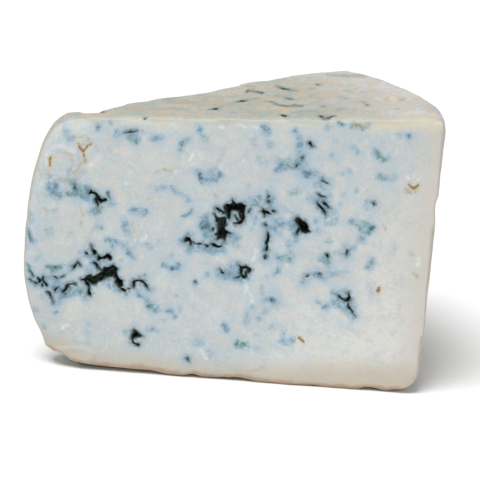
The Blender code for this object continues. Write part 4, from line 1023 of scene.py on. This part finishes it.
def opening_values(surface, front_inside, back_inside):
    """How far inside the openings and tears each point lies, and the strength of its creases and of its
    painted glints.
    """
    places = ragged(surface.front_across, surface.height)
    front = np.where(surface.front > 0, front_inside, -REACH_SHOWN)
    back = np.where(surface.back > 0, back_inside, -REACH_SHOWN)
    tear = np.where(surface.front > 0, furthest_reach(*places, BROWN_TEARS), -REACH_SHOWN)
    return {
        "opening": np.clip(np.maximum(front, back), -REACH_SHOWN, REACH_SHOWN),
        "tear": np.clip(tear, -REACH_SHOWN, REACH_SHOWN),
        "crease": streak_amount(*places, [(1, *chain) for chain in CREASES]) * surface.front,
        "painted_glint": streak_amount(*places, [(1, *chain) for chain in PAINTED_GLINTS]) * surface.front,
    }


def mould_values(surface):
    """The mould, its olive places and the haze around it, and the stains and white smears of the top."""
    front_places = surface.front_across, surface.height
    back_places = surface.back_across, surface.height
    back_marks = scattered(BACK_MOULD_SEED, BACK_MOULDS, *BACK_CORNERS, BACK_CENTRES)
    rim_marks = scattered(RIM_MOULD_SEED, RIM_MOULDS, *RIM_CORNERS)
    along_rim = (surface.distance + TIP_WORN) * np.radians(surface.angle)
    front = mould_amount(*front_places, FRONT_MOULD, MOULD_SOFTNESS)
    front = np.maximum(front, streak_amount(*ragged(*front_places), DARK_STREAKS)) * surface.front
    back = mould_amount(*back_places, back_marks, MOULD_SOFTNESS) * surface.back
    rim = RIM_STRENGTH * mould_amount(along_rim, surface.height, rim_marks, RIM_SOFTNESS)
    rim = rim * (1 - surface.cut) * (1 - surface.top)
    core_places = ragged(surface.plan_x, CORE_SQUASH * surface.plan_y, *CORE_RAGGED)
    cores = streak_amount(*core_places, on_plan(TOP_CORES, CORE_SQUASH)) * surface.top
    front_haze = haze_amount(*front_places, FRONT_MOULD) * surface.front
    back_haze = haze_amount(*back_places, back_marks) * surface.back
    front_olive = mould_amount(*front_places, FRONT_OLIVE, OLIVE_SOFTNESS) * surface.front
    return {
        "mould": np.maximum.reduce((front, back, surface.top_amount(TOP_MOULD, TOP_SOFTNESS), cores, rim)),
        "haze": np.maximum(front_haze, back_haze),
        "olive": np.maximum(surface.top_amount(TOP_OLIVE, OLIVE_SOFTNESS), front_olive),
        "stain": surface.top_amount(TOP_STAINS, STAIN_SOFTNESS),
        "bloom": surface.top_amount(TOP_BLOOM, STAIN_SOFTNESS),
    }


def tint_values(surface):
    """How warm and how light the paste is, with painted shade near the tip, and the painted highlight band
    along the front's top edge.
    """
    across, height = surface.front_across, surface.height
    warmth = 0.3 + 0.4 * (1 - ramp(10, 40, across)) * (1 - ramp(30, 60, height))
    warmth += 0.55 * ramp(70, 100, across) * (1 - 0.8 * ramp(42, 60, height))
    warmth += 0.35 * (1 - ramp(4, 24, height)) * ramp(40, 90, across)
    warmth -= 0.3 * ramp(72, 84, across) * ramp(48, 60, height) * (1 - ramp(97, 104, across))
    # Painted shade: the paste is darker near the tip, where the face turns towards the nose. It is also
    # darker low on the left, and lighter low down past the middle
    near_tip = 1 - ramp(6, 20, across)
    low_left = (1 - ramp(10, 18, height)) * (1 - ramp(50, 70, across))
    tone_and_painted_shade = 0.5 + 0.16 * ramp(60, 78, across) * (1 - ramp(20, 34, height))
    tone_and_painted_shade -= 0.13 * np.maximum(near_tip, low_left)
    # The painted highlight: a pale band along the front's top edge, where its rounded edge catches the light
    from_edge = np.hypot(0.9 * np.maximum(surface.plan_y, 0), 0.8 * np.maximum(surface.below_top, 0))
    band = 1 - ramp(0.8, 3.4, from_edge + 0.5 * ripple(surface.points, 4, 15))
    return {
        "warmth": np.clip(warmth + 0.22 * ripple(surface.points, 16, 12), 0, 1),
        "tone_and_painted_shade": tone_and_painted_shade,
        "painted_highlight_band": read_off(EDGE_HIGHLIGHT, across, 2.0) * band,
    }


def paint(mesh, surface, front_inside, back_inside):
    """Writes what the material needs to know at each point of the surface."""
    values = edge_values(surface) | opening_values(surface, front_inside, back_inside)
    values |= mould_values(surface) | tint_values(surface)
    for name, amounts in values.items():
        attribute = mesh.attributes.new(name, "FLOAT", "POINT")
        attribute.data.foreach_set("value", amounts.astype(np.float32))


def linear(colour):
    """A colour as the shader wants it, from sRGB values of 0 to 255."""
    shares = [value / 255 for value in colour]
    return tuple(s / 12.92 if s <= 0.04045 else ((s + 0.055) / 1.055) ** 2.4 for s in shares) + (1.0,)


class Graph:
    """Short calls that add nodes to a material and return their outputs."""

    def __init__(self, material):
        self.nodes = material.node_tree.nodes
        self.links = material.node_tree.links

    def put(self, socket, value):
        if isinstance(value, bpy.types.NodeSocket):
            self.links.new(value, socket)
        else:
            socket.default_value = value

    def attribute(self, name):
        node = self.nodes.new("ShaderNodeAttribute")
        node.attribute_name = name
        return node.outputs["Fac"]

    def noise(self, size, detail, roughness=0.5, stretch=(1, 1, 1)):
        """Noise from 0 to 1 with lumps of about the given size in mm."""
        shift = self.nodes.new("ShaderNodeMapping")
        self.links.new(self.nodes.new("ShaderNodeTexCoord").outputs["Object"], shift.inputs["Vector"])
        shift.inputs["Location"].default_value = (0.37 * size, 0.11 * size, 0.23 * size)
        shift.inputs["Scale"].default_value = stretch
        node = self.nodes.new("ShaderNodeTexNoise")
        self.links.new(shift.outputs["Vector"], node.inputs["Vector"])
        node.inputs["Scale"].default_value = 1 / (size * MM)
        node.inputs["Detail"].default_value = detail
        node.inputs["Roughness"].default_value = roughness
        return node.outputs["Fac"]

    def math(self, operation, first, second):
        node = self.nodes.new("ShaderNodeMath")
        node.operation = operation
        self.put(node.inputs[0], first)
        self.put(node.inputs[1], second)
        return node.outputs[0]

    def plus(self, first, second):
        return self.math("ADD", first, second)

    def times(self, first, second):
        return self.math("MULTIPLY", first, second)

    def sway(self, value, source, amount):
        """The value, moved up and down by the source around its middle."""
        return self.plus(value, self.times(self.math("SUBTRACT", source, 0.5), amount))

    def uneven(self, value, source):
        """The value, fainter in places where the source is low."""
        return self.times(value, self.ramp(source, 0.35, 0.58))

    def slope(self, value, low, high, top=1.0, kind="LINEAR"):
        """Goes evenly from 0 at low to the top at high, which may be less than low."""
        node = self.nodes.new("ShaderNodeMapRange")
        node.interpolation_type = kind
        self.put(node.inputs["Value"], value)
        ends = (low, high, 0.0, top) if low < high else (high, low, top, 0.0)
        for name, end in zip(("From Min", "From Max", "To Min", "To Max"), ends):
            node.inputs[name].default_value = end
        return node.outputs["Result"]

    def ramp(self, value, low, high, top=1.0):
        """Goes smoothly from 0 at low to the top at high, which may be less than low."""
        return self.slope(value, low, high, top, "SMOOTHSTEP")

    def mix(self, factor, first, second):
        node = self.nodes.new("ShaderNodeMix")
        node.data_type = "RGBA"
        self.put(node.inputs[0], factor)
        for socket, value in ((node.inputs[6], first), (node.inputs[7], second)):
            self.put(socket, linear(value) if isinstance(value, tuple) else value)
        return node.outputs[2]

    def cover(self, colour, *layers):
        """The colour under layers, each a factor and a colour, the topmost last."""
        for factor, layer in layers:
            colour = self.mix(factor, colour, layer)
        return colour

    def tints(self, source, low_tint, high_tint, amount):
        """Two layers: one tint where the source is low, and the other where it is high."""
        low, high = self.ramp(source, 0.5, 0.32, amount), self.ramp(source, 0.5, 0.68, amount)
        return (low, low_tint), (high, high_tint)


def new_material(name, roughness):
    """A material, with its graph and its shader."""
    material = bpy.data.materials.new(name)
    material.use_nodes = True
    graph = Graph(material)
    shader = graph.nodes["Principled BSDF"]
    shader.inputs["Roughness"].default_value = roughness
    return material, graph, shader


def paste_colour(graph, broad, lumps, grain, specks):
    """Greyish white, bluer or creamier in places, mottled, and creamier towards the rind."""
    warmth = graph.sway(graph.attribute("warmth"), broad, 1.0)
    cool = graph.ramp(warmth, 1.0, 0.4)
    hues = graph.noise(2.4, 3)
    below_top = graph.sway(graph.attribute("below_top"), lumps, 4.0)
    inside_rim = graph.sway(graph.attribute("inside_rim"), lumps, 4.0)
    above_bottom = graph.sway(graph.attribute("above_bottom"), lumps, 3.0)
    pink_height = graph.sway(above_bottom, graph.attribute("warmth"), -5.0)
    return graph.cover(
        COOL_PASTE,
        (graph.ramp(warmth, 0.0, 0.5), PASTE),
        (graph.ramp(warmth, 0.5, 1.0), CREAMY_PASTE),
        # painted shade near the tip, and the paste's broad lighter and darker places
        *graph.tints(graph.attribute("tone_and_painted_shade"), SHADED_PASTE, LIGHT_PASTE, 0.6),
        (graph.ramp(lumps, 0.5, 0.7, 0.45), SHADED_PASTE),
        (graph.ramp(lumps, 0.46, 0.3, 0.3), LIGHT_PASTE),
        (graph.ramp(grain, 0.52, 0.72, 0.4), LIGHT_PASTE),
        (graph.ramp(grain, 0.46, 0.3, 0.4), SHADED_PASTE),
        (graph.times(cool, graph.ramp(specks, 0.53, 0.68, 0.4)), HAZE),
        (graph.ramp(specks, 0.47, 0.33, 0.45), LIGHT_PASTE),
        (graph.ramp(hues, 0.5, 0.32, 0.45), PINK_TINT),
        (graph.times(cool, graph.ramp(hues, 0.5, 0.68, 0.45)), BLUE_TINT),
        *graph.tints(graph.noise(0.9, 2), MAUVE_TINT, GREEN_TINT, 0.35),
        (graph.times(graph.attribute("haze"), graph.ramp(lumps, 0.3, 0.6, 1.2)), HAZE),
        (graph.ramp(inside_rim, 9, 0.5, 0.8), RIM_EDGE_CREAM),
        (graph.ramp(pink_height, 8, 1.0, 0.8), BOTTOM_EDGE_PINK),
        (graph.ramp(above_bottom, 1.8, 0.4, 0.7), BOTTOM_LINE),
        (graph.uneven(graph.attribute("crease"), grain), CREASE),
        # painted glints: small white highlights
        (graph.times(graph.uneven(graph.attribute("painted_glint"), grain), 0.6), GLINT_WHITE),
        (graph.ramp(below_top, 2.4, 0.2), EDGE_TAN),
    )


def rind_colour(graph, broad, grain, specks):
    """Beige and grey, in fine streaks, with tan places, a few orange stains and white smears."""
    streaks, patches = (graph.noise(size, 4, 0.6, ALONG_STREAKS) for size in (2.6, 4.2))
    hues = graph.noise(2.5, 3, 0.6, ALONG_STREAKS)
    inside_rim = graph.attribute("inside_rim")
    near_top = graph.plus(graph.ramp(graph.attribute("below_top"), 8, 2, 0.7), 0.3)
    near_rim = graph.times(near_top, graph.ramp(inside_rim, 30, 4))
    return graph.cover(
        RIND,
        (graph.ramp(broad, 0.4, 0.62), PALE_RIND),
        (graph.ramp(streaks, 0.5, 0.64, 0.8), RIND_STREAK),
        (graph.ramp(patches, 0.46, 0.66, 0.65), RIND_TAN),
        (graph.ramp(graph.noise(5, 2), 0.5, 0.62, 0.6), RIND_GREEN),
        (graph.ramp(grain, 0.46, 0.32, 0.6), RIND_STREAK),
        (graph.ramp(specks, 0.54, 0.7, 0.7), PALE_RIND),
        (graph.ramp(specks, 0.46, 0.32, 0.6), RIND_STREAK),
        (graph.ramp(graph.sway(inside_rim, patches, 30), 34, 6, 0.7), FRESH_RIND),
        (graph.times(near_rim, graph.ramp(hues, 0.52, 0.64, 0.8)), RIND_LAVENDER),
        (graph.times(near_rim, graph.ramp(hues, 0.47, 0.36, 0.8)), RIND_SALMON),
        *graph.tints(graph.noise(0.8, 2, 0.5, ALONG_STREAKS), MAUVE_TINT, GREEN_TINT, 0.25),
        (graph.uneven(graph.attribute("bloom"), grain), BLOOM),
        (graph.uneven(graph.attribute("stain"), grain), STAIN),
    )


def with_painted_edge_highlight(graph, colour, grain):
    """The colour with the painted highlight band along the front's top edge; right at the edge it fades to
    rind colour.
    """
    band = graph.cover(
        PAINTED_EDGE_HIGHLIGHT,
        (graph.ramp(graph.attribute("inside_rim"), 28, 14), WARM_PAINTED_EDGE_HIGHLIGHT),
        (graph.ramp(graph.attribute("below_top"), 1.6, 0.4, 0.5), RIND),
    )
    return graph.mix(graph.times(graph.attribute("painted_highlight_band"), graph.ramp(grain, 0.15, 0.5)), colour, band)


def with_mould(graph, colour, on_cut, lumps, grain, specks):
    """The colour under mould: pale at the marks' edges, then darker; bluer in the paste than on the rind."""
    mould, olive = graph.attribute("mould"), graph.attribute("olive")
    teal = graph.ramp(graph.noise(6, 1), 0.52, 0.64)
    greener = graph.ramp(graph.noise(8, 1), 0.6, 0.7, 0.8)
    pale_in_paste = graph.mix(teal, PALE_MOULD, PALE_TEAL_MOULD)
    dark_in_paste = graph.cover(MOULD, (teal, TEAL_MOULD), (greener, OLIVE_MOULD))
    pale = graph.cover(PALE_RIND_MOULD, (on_cut, pale_in_paste), (olive, PALE_OLIVE_MOULD))
    dark = graph.cover(RIND_MOULD, (on_cut, dark_in_paste), (olive, DEEP_OLIVE_MOULD))
    body = graph.times(mould, graph.plus(graph.ramp(lumps, 0.38, 0.62, 0.45), 0.74))
    edge = graph.times(mould, graph.math("SUBTRACT", 1.1, mould))
    crumbs = graph.plus(graph.times(grain, 3.2), graph.times(specks, 2.8))
    amount = graph.plus(body, graph.times(edge, graph.math("SUBTRACT", crumbs, 3.0)))
    return graph.cover(
        colour,
        (graph.slope(amount, 0.04, 0.6), pale),
        (graph.slope(amount, 0.48, 1.05), dark),
        (graph.slope(amount, 0.9, 1.2), graph.mix(on_cut, DARK_RIND_MOULD, DARK_MOULD)),
    )


def with_edge_line(graph, colour, grain):
    """The colour with a thin tan line around the cut faces, except along the top."""
    on_cut = graph.attribute("on_cut")
    line = graph.times(graph.ramp(on_cut, 0.0, 0.4), graph.ramp(on_cut, 1.0, 0.6))
    line = graph.times(line, graph.ramp(graph.attribute("below_top"), 2.0, 6.0, 0.7))
    return graph.mix(graph.uneven(line, grain), colour, EDGE_LINE)


def with_openings(graph, colour, lumps, grain, specks):
    """The colour with the openings, nearly black inside, as dark mould and painted shade, and grey-green at
    their lips, and the brown tears.
    """
    opening = graph.attribute("opening")
    halo = graph.sway(opening, grain, 2.2)
    hole = graph.sway(opening, graph.noise(0.8, 4, 0.65), 0.9)
    tear = graph.sway(graph.attribute("tear"), specks, 0.5)
    inside = graph.mix(graph.ramp(graph.sway(lumps, grain, 0.6), 0.5, 0.64), OPENING_INSIDE, OPENING_SIDES)
    return graph.cover(
        colour,
        (graph.slope(halo, -2.2, -0.2, 0.6), PALE_MOULD),
        (graph.slope(halo, -0.9, 0.2, 0.85), OPENING_LIP),
        # nearly black inside the openings: dark mould with painted shade
        (graph.ramp(hole, -0.16, 0.18), inside),
        (graph.ramp(tear, -0.9, -0.1, 0.7), TEAR_FILL),
        (graph.ramp(tear, -0.25, 0.05, 0.8), TEAR),
    )


def cheese_material():
    """Paste on the cut faces and rind elsewhere, with mould, openings and a fine grain over both."""
    material, graph, shader = new_material("blue_cheese", CHEESE_ROUGHNESS)
    broad, lumps, grain, specks = (graph.noise(size, 3) for size in NOISE_SIZES)
    on_cut = graph.ramp(graph.attribute("on_cut"), 0.2, 0.8)
    rind = rind_colour(graph, broad, grain, specks)
    colour = graph.mix(on_cut, rind, paste_colour(graph, broad, lumps, grain, specks))
    colour = with_painted_edge_highlight(graph, colour, grain)
    colour = with_mould(graph, colour, on_cut, lumps, grain, specks)
    colour = with_edge_line(graph, colour, grain)
    colour = with_openings(graph, colour, lumps, grain, specks)
    graph.put(shader.inputs["Base Color"], colour)
    shader.inputs["Subsurface Weight"].default_value = 0.12
    shader.inputs["Subsurface Radius"].default_value = (1.0, 0.8, 0.6)
    shader.inputs["Subsurface Scale"].default_value = GLOW_DEPTH
    shader.inputs["Specular IOR Level"].default_value = 0.35
    bump = graph.nodes.new("ShaderNodeBump")
    bump.inputs["Strength"].default_value = 0.6
    bump.inputs["Distance"].default_value = GRAIN_HEIGHT
    graph.put(bump.inputs["Height"], graph.plus(graph.times(grain, 0.6), graph.times(specks, 0.3)))
    graph.put(shader.inputs["Normal"], bump.outputs["Normal"])
    return material


def make_wedge():
    """The wedge: the blank, worn, refined, painted and carved, in that order."""
    mesh = make_blank()
    points, _ = read_mesh(mesh)
    mesh.attributes.new("unworn", "FLOAT_VECTOR", "POINT").data.foreach_set("vector", points.ravel())
    write_mesh(mesh, wear(points))
    refine(mesh)
    points, normals = read_mesh(mesh)
    unworn = np.zeros(len(points) * 3, np.float32)
    mesh.attributes["unworn"].data.foreach_get("vector", unworn)
    mesh.attributes.remove(mesh.attributes["unworn"])
    front_inside, back_inside, _, _ = face_insides(points, normals)
    surface = Surface(points, normals, unworn.reshape(-1, 3).astype(float))
    paint(mesh, surface, front_inside, back_inside)
    write_mesh(mesh, carve(points, normals, front_inside, back_inside))
    mesh.name = "cheese"
    mesh.materials.append(cheese_material())
    mesh.shade_smooth()
    return add_object("cheese", mesh)


def make_stage():
    """A plain white floor that fills the view."""
    side, back = FLOOR_SIDE, FLOOR_BACK
    corners = [(-side, -side, 0), (side, -side, 0), (side, back, 0), (-side, back, 0)]
    mesh = bpy.data.meshes.new("floor")
    mesh.from_pydata(corners, [], [(0, 1, 2, 3)])
    material, graph, shader = new_material("white_floor", FLOOR_ROUGHNESS)
    graph.put(shader.inputs["Base Color"], graph.mix(graph.noise(400, 1), FLOOR_WHITE, FLOOR_BRIGHT))
    mesh.materials.append(material)
    return add_object("floor", mesh)


def light_scene():
    """A white world, and one soft sun from above, in front and a little to the left."""
    world = bpy.data.worlds.new("studio")
    world.use_nodes = True
    background = world.node_tree.nodes["Background"]
    background.inputs["Color"].default_value = (1, 1, 1, 1)
    background.inputs["Strength"].default_value = WORLD_STRENGTH
    bpy.context.scene.world = world
    lamp = bpy.data.lights.new("key", "SUN")
    lamp.angle = KEY_SOFTNESS
    lamp.energy = KEY_STRENGTH
    key = add_object("key", lamp)
    key.location = KEY_PLACE
    key.rotation_euler = (-KEY_PLACE).to_track_quat("-Z", "Y").to_euler()
    bpy.context.scene.view_settings.view_transform = "Standard"


def add_camera():
    """A camera in front of the wedge, a little to the right and above, and rolled a little."""
    rise, turn = CAMERA_HEIGHT, CAMERA_AZIMUTH
    back = Vector((math.sin(turn) * math.cos(rise), -math.cos(turn) * math.cos(rise), math.sin(rise)))
    right = (-back).cross(Vector((0, 0, 1))).normalized()
    up = right.cross(-back)
    across = right * math.cos(CAMERA_ROLL) + up * math.sin(CAMERA_ROLL)
    upward = up * math.cos(CAMERA_ROLL) - right * math.sin(CAMERA_ROLL)
    lens = bpy.data.cameras.new("camera")
    lens.lens = CAMERA_LENS
    lens.sensor_width = CAMERA_SENSOR
    lens.clip_start = 0.01
    camera = add_object("camera", lens)
    turned = Matrix((across, upward, back)).transposed().to_4x4()
    camera.matrix_world = Matrix.Translation(CAMERA_TARGET + back * CAMERA_DISTANCE) @ turned
    bpy.context.scene.camera = camera


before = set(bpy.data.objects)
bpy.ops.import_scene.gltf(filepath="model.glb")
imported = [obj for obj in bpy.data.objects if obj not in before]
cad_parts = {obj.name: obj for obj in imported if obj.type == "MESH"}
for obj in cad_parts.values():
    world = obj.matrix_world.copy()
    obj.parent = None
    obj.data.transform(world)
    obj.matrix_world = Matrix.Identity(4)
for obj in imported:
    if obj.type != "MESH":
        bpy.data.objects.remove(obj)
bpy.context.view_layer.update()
cheese = make_wedge()
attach(cheese, "root")
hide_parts("cheese_wedge")
make_stage()
light_scene()
add_camera()
